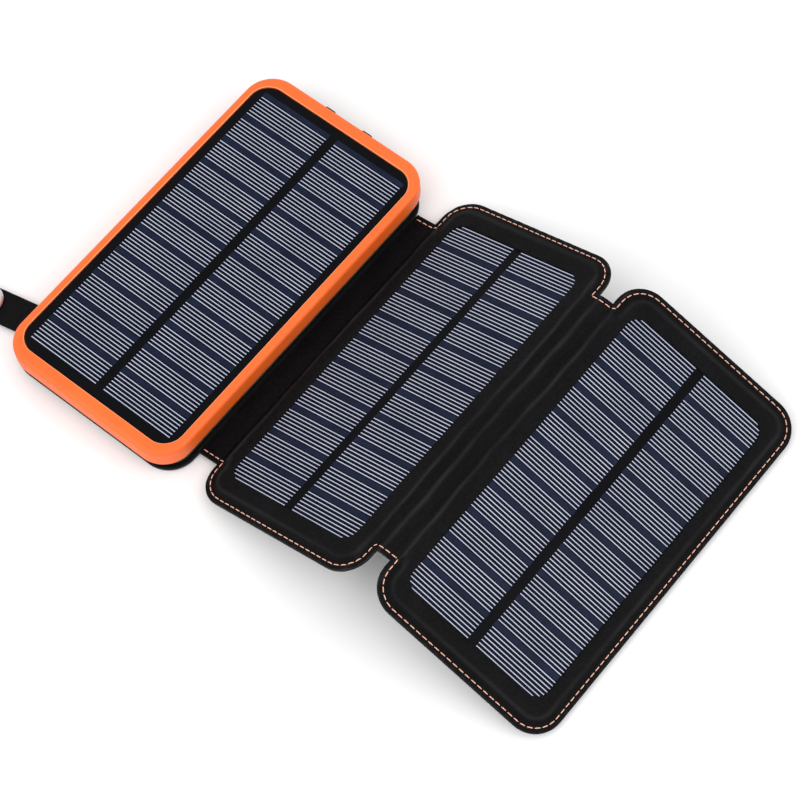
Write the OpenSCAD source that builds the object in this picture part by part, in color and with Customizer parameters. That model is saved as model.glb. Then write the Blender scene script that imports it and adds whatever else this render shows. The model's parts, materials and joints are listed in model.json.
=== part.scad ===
// Folding solar phone charger: a power bank with a solar face, glued to a leather
// folder whose two leaves carry two more solar boards. The leaves stand as a tent
// beside the bank, fold behind it, and are held shut by a strap with a snap.
// The origin is on the table, under the middle of the bank. +X runs towards the
// leaves, +Y along the long side, +Z up.

/* [Bank case] */
// Width of the case
case_w = 84; // [83:0.5:86]
// Length of the case
case_l = 156; // [154:0.5:158]
// Height of the case above its leather backing
case_h = 13.6; // [13.4:0.1:14.4]
// Corner radius of the case, seen from above
case_r = 12.5; // [11:0.5:14]
// Rounding of the case's top edge
top_r = 2; // [2:0.1:3.5]
// Rounding of the case's underside
under_r = 7; // [5:0.5:7]
// Thickness of the case walls
wall = 1.8; // [1.6:0.1:2]
// Height of the seam between the lower and the upper case
seam_h = 3; // [2.6:0.1:3.2]

/* [Solar boards] */
// Width of each solar board
board_w = 76.3; // [74:0.1:76.5]
// Length of each solar board
board_l = 144.5; // [142:0.1:145]
// Corner radius of each solar board
board_r = 8; // [5:0.5:10]
// Cell strips in each of the two columns
cell_rows = 11; // [8:1:12]
// Distance from one cell strip to the next
cell_pitch = 12.45; // [11:0.05:12.5]
// Width of one column of cells
column_w = 33.3; // [30:0.1:34]
// Black divider between the two columns
divider_w = 3.5; // [3:0.1:5]

/* [Leather folder] */
// Length of the folder's leaves along the folds
leaf_l = 158.4; // [157:0.1:160]
// Corner radius of the leaves
leaf_r = 12; // [8:0.5:14]
// How far the middle of the leaves lies beyond the bank's middle
leather_y = 3.8; // [2:0.1:4]
// How far the middle of the first spine lies beyond the bank's middle
spine_1_y = 2.8; // [2:0.1:3.5]
// Length of the leather backing under the bank
back_l = 152.3; // [152:0.1:154]
// How far the middle of the backing lies beyond the bank's middle
back_y = -0.35; // [-0.6:0.05:0.2]
// Thickness of the leather backing under the bank
back_t = 2.2; // [2.2:0.1:2.6]
// Thickness of each leaf
leaf_t = 3.4; // [3.3:0.1:3.4]
// Width of the first spine, between the bank and leaf 2
spine_1 = 7.5; // [7.5:0.1:8]
// Fold to fold width of leaf 2
leaf_2 = 84.7; // [84.4:0.1:86]
// Width of the second spine, between the leaves
spine_2 = 4.4; // [4.4:0.1:4.5]
// Width of leaf 3 from its fold to its free edge
leaf_3 = 83.2; // [83:0.1:84]
// Length of the spines along the folds
spine_l = 128.8; // [120:0.2:130]
// Thickness of the leather at the spines
spine_t = 1.2; // [1:0.1:1.2]

/* [Windows] */
// Width of the windows in the leaves
window_w = 63.3; // [60:0.1:66]
// Length of the windows in the leaves
window_l = 134.6; // [128:0.1:136]
// Corner radius of the windows
window_r = 5.5; // [3:0.5:8]
// Leather between the first fold of leaf 2 and its window
margin_2 = 9.4; // [9.2:0.1:9.6]
// Leather between the fold of leaf 3 and its window
margin_3 = 9.6; // [9.4:0.1:10]

/* [Standing pose] */
// Slope of the first spine
spine_1_slope = 10; // [5:1:12]
// Slope of leaf 2
leaf_2_slope = 19.8; // [16:0.2:22]

/* [Strap] */
// Width of the strap
strap_w = 14; // [13:0.5:15]
// Thickness of the strap
strap_t = 1; // [0.8:0.1:1]
// Length of strap between its fold at the bank and its second fold
strap_base_l = 15.7; // [15.7:0.1:16.4]
// Distance from the second fold to the middle of the snap
snap_reach = 6.3; // [6:0.1:7]
// Where the strap leaves the bank's long side
strap_y = -58.2; // [-60:0.1:-40]
// Slant of the strap towards the bank's near end
strap_yaw = 12; // [0:1:12]

/* [Ports and button] */
// Position of the left USB output along the end wall
usb_left_x = -11; // [-11.5:0.5:-10.5]
// Position of the right USB output along the end wall
usb_right_x = 7.5; // [7:0.5:9]
// Position of the micro-USB input along the end wall
micro_x = -25; // [-27:0.5:-24]
// Height of the middle of all ports above the case's underside
port_h = 7.1; // [7:0.05:7.2]
// How far the pull tabs of the port plugs stand out
tab_out = 2.2; // [1:0.1:2.4]
// Position of the power button along the bank's long side
button_y = 46; // [44:0.5:47]
// Travel of the power button
button_travel = 0.5; // [0.3:0.1:0.5]

/* [Hidden] */

// Small gap left between pieces that lie on each other
gap = 0.02;
// Gap around pieces that sit in a pocket
fit = 0.15;
// Points on a quarter of a rounded corner
arc_n = 8;
leather_color = [0.12, 0.12, 0.13];

// Heights in the bank
case_z = back_t;
floor_z = case_z + 1.6;
seam_z = case_z + seam_h;
recess_z = case_z + case_h - 1.8;
deck_z = recess_z - 1.4;
port_z = case_z + port_h;
usb_x = [usb_left_x, usb_right_x];
pcb_t = 1.2;
usb_h = 5.7;
pcb_z = port_z - usb_h / 2 - pcb_t;

// Battery and circuit board, seen from above
battery_w = 35.5;
battery_l = 102;
battery_z = floor_z + 0.6;
battery_t = deck_z - 0.7 - battery_z;
battery_y = -case_l / 2 + 12.5;
pcb_y = 42;
screw_x = case_w / 2 - 9;
screw_y = case_l / 2 - 8.5;
screw_r = 1;
screw_l = 6;
screw_head_r = 1.9;
screw_head_h = 1.2;
boss_r = 2.6;
foot_r = 3.2;

// Folds, as [x, z] of each fold line
fold_gap = 0.9;
strip_gap = 0.3;
fold_a = [case_w / 2 + 1.1, back_t / 2];
fold_b = fold_a + spine_1 * [cos(spine_1_slope), sin(spine_1_slope)];
fold_c = fold_b + leaf_2 * [cos(leaf_2_slope), sin(leaf_2_slope)];
fold_d = fold_c + [spine_2, 0];
// Slope at which the free edge of leaf 3 just meets the table
rough_slope = asin(fold_d[1] / leaf_3);
leaf_3_slope = asin((fold_d[1] - leaf_t / 2 * cos(rough_slope)) / leaf_3);
spine_half = spine_t / 2;

// Layers of a leaf, above its middle plane
leaf_half = leaf_t / 2;
skin_t = 0.75;
solar_z = -0.25;
cell_z = solar_z + 0.8;
cell_t = 0.15;
film_t = 0.25;
leaf_pocket_top = leaf_half - skin_t;
rim_fold = 1.7;
rim_end = 3.5;

// Flat lead that carries the leaves' current
lead_w = 6;
lead_t = 0.25;
lead_y = -37;
lead_x = 26.5;

// Strap folds, as [x, z]
back_left = -case_w / 2 - 1.2;
root_z = 0.8;
strap_gap = 0.6;
strap_half = strap_t / 2;
snap_h = 1.3;
strap_fold_1 = [back_left - 0.6, root_z + strap_half];
strap_fold_2_z = snap_h + strap_half;
strap_slope = asin((strap_fold_2_z - strap_fold_1[1]) / strap_base_l);
strap_fold_2 = strap_fold_1 + strap_base_l * [-cos(strap_slope), sin(strap_slope)];
snap_r = 6.3;
snap_x = strap_fold_2[0] - snap_reach;
snap_y = strap_mid(snap_x);
// Distance of the snap's stud from fold D, which meets the socket when shut
stud_s = snap_reach + leaf_2 - fold_a[0] + strap_fold_1[0];

function strap_mid(x) = strap_y + (x - strap_fold_1[0]) * tan(strap_yaw);

// Points of an arc around [x, y]
function arc(x, y, r, from, to, n = arc_n) =
    [for (i = [0 : n]) let (a = from + (to - from) * i / n) [x + r * cos(a), y + r * sin(a)]];

// Points of a rounded rectangle with its middle at the origin
function rounded(w, l, r) = concat(
    arc(w / 2 - r, l / 2 - r, r, 0, 90),
    arc(-w / 2 + r, l / 2 - r, r, 90, 180),
    arc(-w / 2 + r, -l / 2 + r, r, 180, 270),
    arc(w / 2 - r, -l / 2 + r, r, 270, 360)
);

// Round bar that stands on the origin
module rod(r, h) {
    cylinder(r = r, h = h, $fn = 32);
}

// Plate with rounded corners that stands on the origin
module plate(w, l, r, t) {
    linear_extrude(t) polygon(rounded(w, l, r));
}

// Section of the case from its middle to its outer face, shrunk by inset
module case_section(r, inset, low, high) {
    bottom_r = under_r - inset;
    upper_r = max(top_r - inset, 0.4);
    top = case_h - inset;
    intersection() {
        polygon(concat(
            [[0, inset]],
            arc(r - bottom_r, inset + bottom_r, bottom_r, 270, 360),
            arc(r - upper_r, top - upper_r, upper_r, 0, 90),
            [[0, top]]
        ));
        translate([0, low]) square([r + 1, high - low]);
    }
}

// Closed body of the case between two heights, shrunk by inset
module case_body(inset, low, high) {
    r = case_r - inset;
    translate([0, 0, case_z])
        hull()
            for (x = [-1, 1], y = [-1, 1])
                translate([x * (case_w / 2 - case_r), y * (case_l / 2 - case_r), 0])
                    rotate_extrude($fn = 32) case_section(r, inset, low, high);
}

module at_screws() {
    for (x = [-1, 1], y = [-1, 1])
        translate([x * screw_x, y * screw_y, 0]) children();
}

// Box given by its lowest corner and its highest corner
module block(low, high) {
    translate(low) cube(high - low);
}

module on_hinge_1() {
    translate([fold_a[0], 0, fold_a[1]]) rotate([0, -spine_1_slope, 0]) children();
}

module on_leaf_2() {
    translate([fold_b[0], 0, fold_b[1]]) rotate([0, -leaf_2_slope, 0]) children();
}

module on_hinge_2() {
    translate([fold_c[0], 0, fold_c[1]]) children();
}

module on_leaf_3() {
    translate([fold_d[0], 0, fold_d[1]]) rotate([0, leaf_3_slope, 0]) children();
}

// ---- bank case ----

plug_h = 6.4;
plug_low = port_z - plug_h / 2;
plug_back = case_l / 2 - 1.3;
plug_front = case_l / 2 - 0.4;
plug_span = [[-33.5, -2.4], [-0.4, 16.6]];
tab_w = 5;
tab_t = 1.6;
tab_z = port_z + 0.7;

module case_upper() {
    color("darkorange")
        difference() {
            union() {
                difference() {
                    case_body(0, seam_h, case_h);
                    case_body(wall, seam_h - 1, deck_z - case_z);
                }
                at_screws() translate([0, 0, seam_z + 0.2]) rod(boss_r, deck_z - seam_z);
            }
            translate([0, 0, recess_z]) plate(board_w + 0.6, board_l + 0.6, board_r + 0.3, 3);
            at_screws() translate([0, 0, seam_z - 1]) rod(screw_r + 0.05, deck_z - seam_z);
            for (x = usb_x)
                block([x - 6.75, case_l / 2 - 5, port_z - 3], [x + 6.75, case_l / 2 + 1, port_z + 3]);
            block([micro_x - 4.2, case_l / 2 - 5, port_z - 1.9],
                  [micro_x + 4.2, case_l / 2 + 1, port_z + 1.9]);
            for (s = plug_span)
                block([s[0] - fit, plug_back - 0.1, plug_low - fit],
                      [s[1] + fit, case_l / 2 + 1, plug_low + plug_h + fit]);
            button_hole();
            translate([0, window_y, port_z])
                side_pill(window_pill_l, window_pill_h, -case_w / 2 - 1, -case_w / 2 + wall + 1, fit);
            translate([20, 52, deck_z - 1]) rod(2.5, 4);
        }
}

module case_lower() {
    color("dimgray")
        difference() {
            union() {
                difference() {
                    case_body(0, 0, seam_h - gap);
                    case_body(wall, floor_z - case_z, seam_h + 1);
                }
                at_screws() translate([0, 0, floor_z - 0.2]) rod(foot_r, seam_z - floor_z);
            }
            at_screws() {
                translate([0, 0, case_z - 1]) rod(screw_head_r + 0.2, screw_head_h + 1.2);
                translate([0, 0, case_z]) rod(screw_r + fit, screw_l);
            }
            block([lead_x - 0.5, lead_y - 4, case_z - 1], [lead_x + 3.5, lead_y + 4, floor_z + 1]);
        }
}

module case_screws() {
    color("silver")
        at_screws() difference() {
            union() {
                translate([0, 0, case_z + 0.1]) rod(screw_head_r, screw_head_h);
                translate([0, 0, case_z + screw_head_h]) rod(screw_r, screw_l);
            }
            for (a = [0, 90])
                rotate(a) block([-1.2, -0.22, case_z], [1.2, 0.22, case_z + 0.6]);
        }
}

// ---- solar boards, with their underside at height z ----

module solar_board(z) {
    color("black") translate([0, 0, z]) plate(board_w, board_l, board_r, 0.8 - gap);
}

module cells(z) {
    low_y = -cell_rows * cell_pitch / 2;
    color("midnightblue")
        for (side = [-1, 1], i = [0 : cell_rows - 1])
            translate([side * (divider_w + column_w) / 2 - column_w / 2, low_y + i * cell_pitch, z])
                cube([column_w, cell_pitch - 0.15, cell_t - gap]);
}

module film(z) {
    color("lightsteelblue", 0.3) translate([0, 0, z]) plate(board_w, board_l, board_r, film_t - gap);
}

bank_board_z = recess_z + 0.35;
bank_cell_z = bank_board_z + 0.8;
bank_film_z = bank_cell_z + cell_t;

module bank_solar_board() {
    solar_board(bank_board_z);
    color("black")
        for (x = [-1, 1])
            block([x * 20 - 6, -60, recess_z + gap], [x * 20 + 6, 40, bank_board_z + 0.1]);
}

module bank_cells() {
    cells(bank_cell_z);
}

module bank_film() {
    film(bank_film_z);
}

// ---- inside the bank ----

module battery(side) {
    color("silver")
        translate([side * (battery_w / 2 + 0.4), battery_y + battery_l / 2, battery_z])
            plate(battery_w, battery_l, 2, battery_t);
}

module battery_left() {
    battery(-1);
}

module battery_right() {
    battery(1);
}

module battery_foam() {
    foam_w = 56;
    foam_l = 80;
    foam_z = battery_z + battery_t + gap;
    foam_y = battery_y + 8;
    color("dimgray")
        block([-foam_w / 2, foam_y, foam_z], [foam_w / 2, foam_y + foam_l, deck_z - gap]);
}

module battery_leads() {
    wire_y = battery_y + battery_l + gap;
    color("red")
        for (x = [-22, -16, 16, 22])
            translate([x, wire_y, pcb_z + pcb_t + 0.6 + gap])
                rotate([-90, 0, 0]) rod(0.6, pcb_y + 4 - wire_y);
}

module solar_leads() {
    low = pcb_z + pcb_t + gap;
    color("red")
        for (x = [19, 21])
            translate([x, 52, low]) rod(0.5, bank_board_z - gap - low);
}

module main_board() {
    color("darkgreen")
        translate([0, 0, pcb_z])
            linear_extrude(pcb_t)
                polygon([[-37, pcb_y], [30, pcb_y], [30, 74], [-30, 74], [-30, 65], [-37, 65]]);
}

module board_chips() {
    top = pcb_z + pcb_t + gap;
    color("dimgray") {
        block([-6, 46, top], [0, 52, top + 1]);
        block([4, 45, top], [12, 53, top + 3]);
        block([-16, 50, top], [-11, 55, top + 1.2]);
        block([24, 56, top], [28, 64, top + 1.6]);
        block([24, 46, top], [28, 50, top + 1]);
    }
}

usb_w = 13.1;
usb_depth = 14;
usb_tongue_w = 11.1;
usb_tongue_t = 1.8;
socket_y = case_l / 2 - 2;
sheet_t = 0.4;

// Metal shell of a socket whose mouth is at the origin and faces +Y
module socket_shell(w, h, depth) {
    color("silver")
        difference() {
            block([-w / 2, -depth, -h / 2], [w / 2, 0, h / 2]);
            block([-w / 2 + sheet_t, -depth + sheet_t, -h / 2 + sheet_t],
                  [w / 2 - sheet_t, 1, h / 2 - sheet_t]);
        }
}

// Moulded tongue of a socket, standing on a block at its back
module socket_insert(w, h, depth, tongue_w, tongue_t) {
    in = sheet_t + gap;
    tongue_z = 0.1;
    color("white") {
        block([-w / 2 + in, -depth + in, -h / 2 + in], [w / 2 - in, -depth + 4, h / 2 - in]);
        block([-tongue_w / 2, -depth + 3.9, tongue_z], [tongue_w / 2, -1.2, tongue_z + tongue_t]);
    }
}

module at_socket(x) {
    translate([x, socket_y, port_z]) children();
}

module usb_socket_left() {
    at_socket(usb_x[0]) socket_shell(usb_w, usb_h, usb_depth);
}

module usb_socket_right() {
    at_socket(usb_x[1]) socket_shell(usb_w, usb_h, usb_depth);
}

module usb_insert_left() {
    at_socket(usb_x[0]) socket_insert(usb_w, usb_h, usb_depth, usb_tongue_w, usb_tongue_t);
}

module usb_insert_right() {
    at_socket(usb_x[1]) socket_insert(usb_w, usb_h, usb_depth, usb_tongue_w, usb_tongue_t);
}

micro_w = 7.5;
micro_h = 2.9;
micro_depth = 5.6;
micro_tongue_w = 3.8;
micro_tongue_t = 0.6;
micro_z = pcb_z + pcb_t + gap + micro_h / 2 + 1.3;

module micro_usb_socket() {
    translate([micro_x, socket_y, micro_z]) socket_shell(micro_w, micro_h, micro_depth);
    color("silver")
        for (x = [-1, 1])
            block([micro_x + x * 3 - 0.4, socket_y - 4, pcb_z + pcb_t + gap],
                  [micro_x + x * 3 + 0.4, socket_y - 2, micro_z - micro_h / 2 + 0.1]);
}

module micro_usb_insert() {
    translate([micro_x, socket_y, micro_z])
        socket_insert(micro_w, micro_h, micro_depth, micro_tongue_w, micro_tongue_t);
}

// ---- power button and status lights on the long side ----

window_y = 59;
window_pill_l = 12;
window_pill_h = 2.4;
button_l = 9;
button_h = 4;
flange_t = 0.7;

// Bar with round ends that goes through the long side wall, from x0 to x1
module side_pill(l, h, x0, x1, extra = 0) {
    r = h / 2 + extra;
    translate([x0, 0, 0])
        rotate([90, 0, 90])
            linear_extrude(x1 - x0)
                polygon(concat(arc(l / 2 - h / 2, 0, r, -90, 90), arc(-l / 2 + h / 2, 0, r, 90, 270)));
}

button_flange = -case_w / 2 + wall + 0.8;
window_flange = -case_w / 2 + wall + 0.5;

module button_hole() {
    translate([0, button_y, port_z])
        side_pill(button_l, button_h, -case_w / 2 - 1, -case_w / 2 + wall + 1, fit);
}

module power_button() {
    color("black")
        translate([0, button_y, port_z]) {
            side_pill(button_l, button_h, -case_w / 2 - 0.6, button_flange + 0.1);
            side_pill(button_l + 1.5, button_h + 1.2, button_flange, button_flange + flange_t);
        }
}

module button_switch() {
    tip = button_flange + flange_t + button_travel + 0.05;
    top = pcb_z + pcb_t + gap;
    color("silver") {
        block([tip + 0.6, button_y - 2.6, top], [-case_w / 2 + 8, button_y + 2.6, port_z + 1.6]);
        translate([tip, button_y, port_z]) rotate([0, 90, 0]) rod(1, 0.8);
    }
}

module status_leds() {
    color("white")
        for (i = [-1.5 : 1 : 1.5])
            block([-case_w / 2 + 5, window_y + i * 3 - 0.5, pcb_z + pcb_t + gap],
                  [-case_w / 2 + 6.6, window_y + i * 3 + 0.5, port_z + 0.4]);
}

module led_window() {
    color("white")
        translate([0, window_y, port_z]) {
            side_pill(window_pill_l, window_pill_h, -case_w / 2 - 0.05, -case_w / 2 + wall + 0.6);
            side_pill(window_pill_l + 1.6, window_pill_h + 1.6, window_flange, window_flange + 0.9);
        }
}

// ---- rubber plugs over the ports, each a flap on its lower edge ----

module port_plug(span, bosses, tab_x) {
    color("black") {
        block([span[0], plug_back, plug_low], [span[1], plug_front, plug_low + plug_h]);
        for (b = bosses)
            block([b[0] - b[1] / 2, socket_y + 0.1, port_z - b[2] / 2],
                  [b[0] + b[1] / 2, plug_back + 0.1, port_z + b[2] / 2]);
        block([tab_x - tab_w / 2, plug_front - 0.1, tab_z],
              [tab_x + tab_w / 2, plug_front + tab_out, tab_z + tab_t]);
    }
}

module port_plug_left() {
    port_plug(plug_span[0], [[usb_x[0], 11.8, 4.6], [micro_x, 7, 2.6]], usb_x[0]);
}

module port_plug_right() {
    port_plug(plug_span[1], [[usb_x[1], 11.8, 4.6]], usb_x[1]);
}

// ---- leather backing under the bank ----

back_w = fold_a[0] - fold_gap - back_left;
back_x = back_left + back_w / 2;
back_board_z = 0.7;
back_board_t = 0.8;
adhesive_z = back_board_z + back_board_t + gap;

module back_plate(inset, low, high) {
    translate([back_x, back_y, low])
        plate(back_w - 2 * inset, back_l - 2 * inset, leaf_r - inset, high - low);
}

// Flat shape of the strap between two distances left of its first fold
module strap_outline(from, to) {
    x0 = strap_fold_1[0] - from;
    x1 = strap_fold_1[0] - to;
    polygon([
        [-from, strap_mid(x0) - strap_w / 2], [-from, strap_mid(x0) + strap_w / 2],
        [-to, strap_mid(x1) + strap_w / 2], [-to, strap_mid(x1) - strap_w / 2]
    ]);
}

root_in = -9;

module root_pocket() {
    translate([strap_fold_1[0], 0, root_z - 0.1])
        linear_extrude(3)
            polygon([
                [-1, strap_y - strap_w / 2 - 1.6], [-1, strap_y + strap_w / 2 + 1.6],
                [9.5, strap_y + strap_w / 2 + 3], [9.5, strap_y - strap_w / 2 - 1]
            ]);
}

module back_skin() {
    color(leather_color)
        difference() {
            back_plate(0, 0, back_t - gap);
            back_plate(2, back_board_z, back_t + 1);
            root_pocket();
        }
}

module back_board() {
    color("gray")
        difference() {
            back_plate(2 + fit, back_board_z + gap, back_board_z + back_board_t);
            root_pocket();
            block([20, lead_y - lead_w / 2 - fit, 0], [60, lead_y + lead_w / 2 + fit, back_t + 1]);
        }
}

module back_adhesive() {
    color("white")
        difference() {
            translate([0, 0, adhesive_z])
                plate(case_w - 2 * under_r, case_l - 2 * under_r, 5, case_z - gap - adhesive_z);
            root_pocket();
            block([22, lead_y - lead_w / 2 - fit, 0], [60, lead_y + lead_w / 2 + fit, back_t + 1]);
            at_screws() translate([0, 0, back_board_z]) rod(2.2, 3);
        }
}

module back_lead() {
    low = back_board_z + 0.2;
    color("sienna") {
        block([lead_x, lead_y - lead_w / 2, low],
              [fold_a[0] - fold_gap - 2.2, lead_y + lead_w / 2, low + lead_t]);
        block([lead_x, lead_y - lead_w / 2, low],
              [lead_x + lead_t, lead_y + lead_w / 2, floor_z + 0.5]);
    }
}

module strap_root() {
    color(leather_color)
        translate([strap_fold_1[0], 0, root_z])
            linear_extrude(strap_t) strap_outline(root_in, -strap_gap);
}

// ---- spines: an outer and an inner skin with the lead between ----

module hinge_skin(w, middle_y, side) {
    color(leather_color)
        difference() {
            block([strip_gap, middle_y - spine_l / 2, side > 0 ? gap / 2 : -spine_half],
                  [w - strip_gap, middle_y + spine_l / 2, side > 0 ? spine_half : -gap / 2]);
            block([-1, lead_y - lead_w / 2 - fit, -lead_t / 2 - 0.05],
                  [w + 1, lead_y + lead_w / 2 + fit, lead_t / 2 + 0.05]);
        }
}

module hinge_lead(w) {
    color("sienna")
        block([strip_gap, lead_y - lead_w / 2, -lead_t / 2],
              [w - strip_gap, lead_y + lead_w / 2, lead_t / 2]);
}

module hinge_1_outer_skin() {
    on_hinge_1() hinge_skin(spine_1, spine_1_y, -1);
}

module hinge_1_inner_skin() {
    on_hinge_1() hinge_skin(spine_1, spine_1_y, 1);
}

module hinge_1_lead() {
    on_hinge_1() hinge_lead(spine_1);
}

module hinge_2_outer_skin() {
    on_hinge_2() hinge_skin(spine_2, leather_y, -1);
}

module hinge_2_inner_skin() {
    on_hinge_2() hinge_skin(spine_2, leather_y, 1);
}

module hinge_2_lead() {
    on_hinge_2() hinge_lead(spine_2);
}

// ---- leaves, each drawn from its fold, with +X across the leaf ----

leaf_2_end = leaf_2 - fold_gap;

// Plate across a leaf from its fold to x = end, inset at the folds and at the ends
module leaf_plate(end, inset_x, inset_y, low, high) {
    w = end - fold_gap;
    translate([fold_gap + w / 2, leather_y, low])
        plate(w - 2 * inset_x, leaf_l - 2 * inset_y, leaf_r - inset_x, high - low);
}

module outer_skin(end) {
    color(leather_color)
        difference() {
            leaf_plate(end, 0, 0, -leaf_half, -gap / 2);
            leaf_plate(end, rim_fold, rim_end, -leaf_half + skin_t, 1);
        }
}

module frame_skin(end, margin) {
    color(leather_color)
        difference() {
            leaf_plate(end, 0, 0, gap / 2, leaf_half);
            leaf_plate(end, rim_fold, rim_end, -1, leaf_pocket_top);
            translate([margin + window_w / 2, leather_y, 0]) plate(window_w, window_l, window_r, leaf_t);
        }
}

module stiff_board(end) {
    color("gray")
        difference() {
            leaf_plate(end, rim_fold + fit, rim_end + fit, -leaf_half + skin_t + gap, solar_z - gap);
            block([0, lead_y - lead_w / 2 - fit, -leaf_half + skin_t + 0.3],
                  [end, lead_y + lead_w / 2 + fit, leaf_half]);
        }
}

module leaf_lead(end) {
    low = solar_z - gap - lead_t;
    color("sienna")
        block([fold_gap + rim_fold + fit, lead_y - lead_w / 2, low],
              [end - rim_fold - fit, lead_y + lead_w / 2, low + lead_t]);
}

module on_window(margin) {
    translate([margin + window_w / 2, leather_y, 0]) children();
}

module panel_2_outer_skin() {
    on_leaf_2() outer_skin(leaf_2_end);
}

module panel_2_board() {
    on_leaf_2() stiff_board(leaf_2_end);
}

module panel_2_solar_board() {
    on_leaf_2() on_window(margin_2) solar_board(solar_z);
}

module panel_2_cells() {
    on_leaf_2() on_window(margin_2) cells(cell_z);
}

module panel_2_film() {
    on_leaf_2() on_window(margin_2) film(cell_z + cell_t);
}

module panel_2_frame_skin() {
    on_leaf_2() frame_skin(leaf_2_end, margin_2);
}

module panel_2_lead() {
    on_leaf_2() leaf_lead(leaf_2_end);
}

module panel_3_outer_skin() {
    on_leaf_3()
        difference() {
            outer_skin(leaf_3);
            translate([stud_s, snap_y, -3]) rod(1, 6);
        }
}

module panel_3_board() {
    on_leaf_3()
        difference() {
            stiff_board(leaf_3);
            translate([stud_s, snap_y, -3]) rod(post_head_r + fit, 6);
        }
}

module panel_3_solar_board() {
    on_leaf_3() on_window(margin_3) solar_board(solar_z);
}

module panel_3_cells() {
    on_leaf_3() on_window(margin_3) cells(cell_z);
}

module panel_3_film() {
    on_leaf_3() on_window(margin_3) film(cell_z + cell_t);
}

module panel_3_frame_skin() {
    on_leaf_3() frame_skin(leaf_3, margin_3);
}

module panel_3_lead() {
    on_leaf_3() leaf_lead(60);
}

// ---- snap: the stud is on the back of leaf 3, the cap and socket are on the strap ----

stud_out = 0.75;
stud_r = 1.9;
post_head_r = 1.4;
post_head_t = 0.3;

module snap_stud() {
    color("silver")
        on_leaf_3()
            translate([stud_s, snap_y, -leaf_half - gap])
                rotate([180, 0, 0])
                    difference() {
                        union() {
                            rod(3, 0.25);
                            rod(stud_r, stud_out);
                        }
                        translate([0, 0, -1]) rod(0.95, 1.5);
                    }
}

module snap_post() {
    color("silver")
        on_leaf_3()
            translate([stud_s, snap_y, -leaf_half]) {
                translate([0, 0, -0.4]) rod(0.9, 0.4 + skin_t + post_head_t);
                translate([0, 0, skin_t + gap]) rod(post_head_r, post_head_t);
            }
}

module on_strap_tip() {
    translate([strap_fold_2[0], 0, strap_fold_2[1]]) children();
}

module strap_base() {
    color(leather_color)
        translate([strap_fold_1[0], 0, strap_fold_1[1]])
            rotate([0, strap_slope, 0])
                translate([0, 0, -strap_half])
                    linear_extrude(strap_t) strap_outline(strap_gap, strap_base_l - strap_gap);
}

module strap_tip() {
    start = strap_fold_2[0] - strap_fold_1[0];
    color(leather_color)
        on_strap_tip()
            translate([0, 0, -strap_half])
                difference() {
                    linear_extrude(strap_t) {
                        translate([-start, 0]) strap_outline(-start + strap_gap, -start + snap_reach);
                        intersection() {
                            translate([-snap_reach, snap_y]) circle(r = strap_w / 2, $fn = 64);
                            translate([-strap_gap - 2 * strap_w, snap_y - strap_w]) square(2 * strap_w);
                        }
                    }
                    translate([-snap_reach, snap_y, -1]) rod(1.3, 4);
                }
}

module snap_cap() {
    color("silver")
        on_strap_tip()
            translate([-snap_reach, snap_y, strap_half + gap]) {
                rotate_extrude($fn = 64)
                    polygon(concat(
                        [[0, 0], [snap_r - 1, 0], [snap_r - 0.2, 0.25], [snap_r, 0.5]],
                        arc(0, -8.25, 11, 53, 90)
                    ));
                translate([0, 0, -strap_t]) rod(1.2, strap_t + 0.1);
            }
}

module snap_socket() {
    color("silver")
        on_strap_tip()
            translate([-snap_reach, snap_y, -strap_half - snap_h])
                difference() {
                    rod(4.3, snap_h - gap);
                    translate([0, 0, -1]) rod(stud_r + 0.1, 2);
                }
}

case_upper();
case_lower();
case_screws();
bank_solar_board();
bank_cells();
bank_film();
battery_left();
battery_right();
battery_foam();
battery_leads();
solar_leads();
main_board();
board_chips();
usb_socket_left();
usb_socket_right();
usb_insert_left();
usb_insert_right();
micro_usb_socket();
micro_usb_insert();
button_switch();
status_leds();
led_window();
power_button();
port_plug_left();
port_plug_right();
back_skin();
back_board();
back_adhesive();
back_lead();
strap_root();
hinge_1_outer_skin();
hinge_1_inner_skin();
hinge_1_lead();
panel_2_outer_skin();
panel_2_board();
panel_2_solar_board();
panel_2_cells();
panel_2_film();
panel_2_frame_skin();
panel_2_lead();
hinge_2_outer_skin();
hinge_2_inner_skin();
hinge_2_lead();
panel_3_outer_skin();
panel_3_board();
panel_3_solar_board();
panel_3_cells();
panel_3_film();
panel_3_frame_skin();
panel_3_lead();
snap_stud();
snap_post();
strap_base();
strap_tip();
snap_cap();
snap_socket();
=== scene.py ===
"""Looks of the folding solar phone charger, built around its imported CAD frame.

Lengths are in millimetres until a mesh is made. +X runs from the bank to the leaves,
+Y along the long side, +Z up.
"""

import json
import math

import bpy
import numpy as np
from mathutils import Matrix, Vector
from mathutils.geometry import delaunay_2d_cdt


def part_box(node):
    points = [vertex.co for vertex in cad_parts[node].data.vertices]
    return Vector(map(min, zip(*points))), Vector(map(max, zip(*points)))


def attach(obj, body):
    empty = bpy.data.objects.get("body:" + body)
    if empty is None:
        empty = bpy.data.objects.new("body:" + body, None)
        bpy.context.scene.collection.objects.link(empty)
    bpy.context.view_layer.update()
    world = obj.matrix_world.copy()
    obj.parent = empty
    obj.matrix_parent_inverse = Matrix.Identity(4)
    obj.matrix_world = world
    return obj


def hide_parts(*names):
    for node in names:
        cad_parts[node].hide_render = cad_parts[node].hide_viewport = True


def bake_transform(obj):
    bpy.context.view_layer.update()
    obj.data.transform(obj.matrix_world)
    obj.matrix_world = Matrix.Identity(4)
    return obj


MM = 0.001

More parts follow.
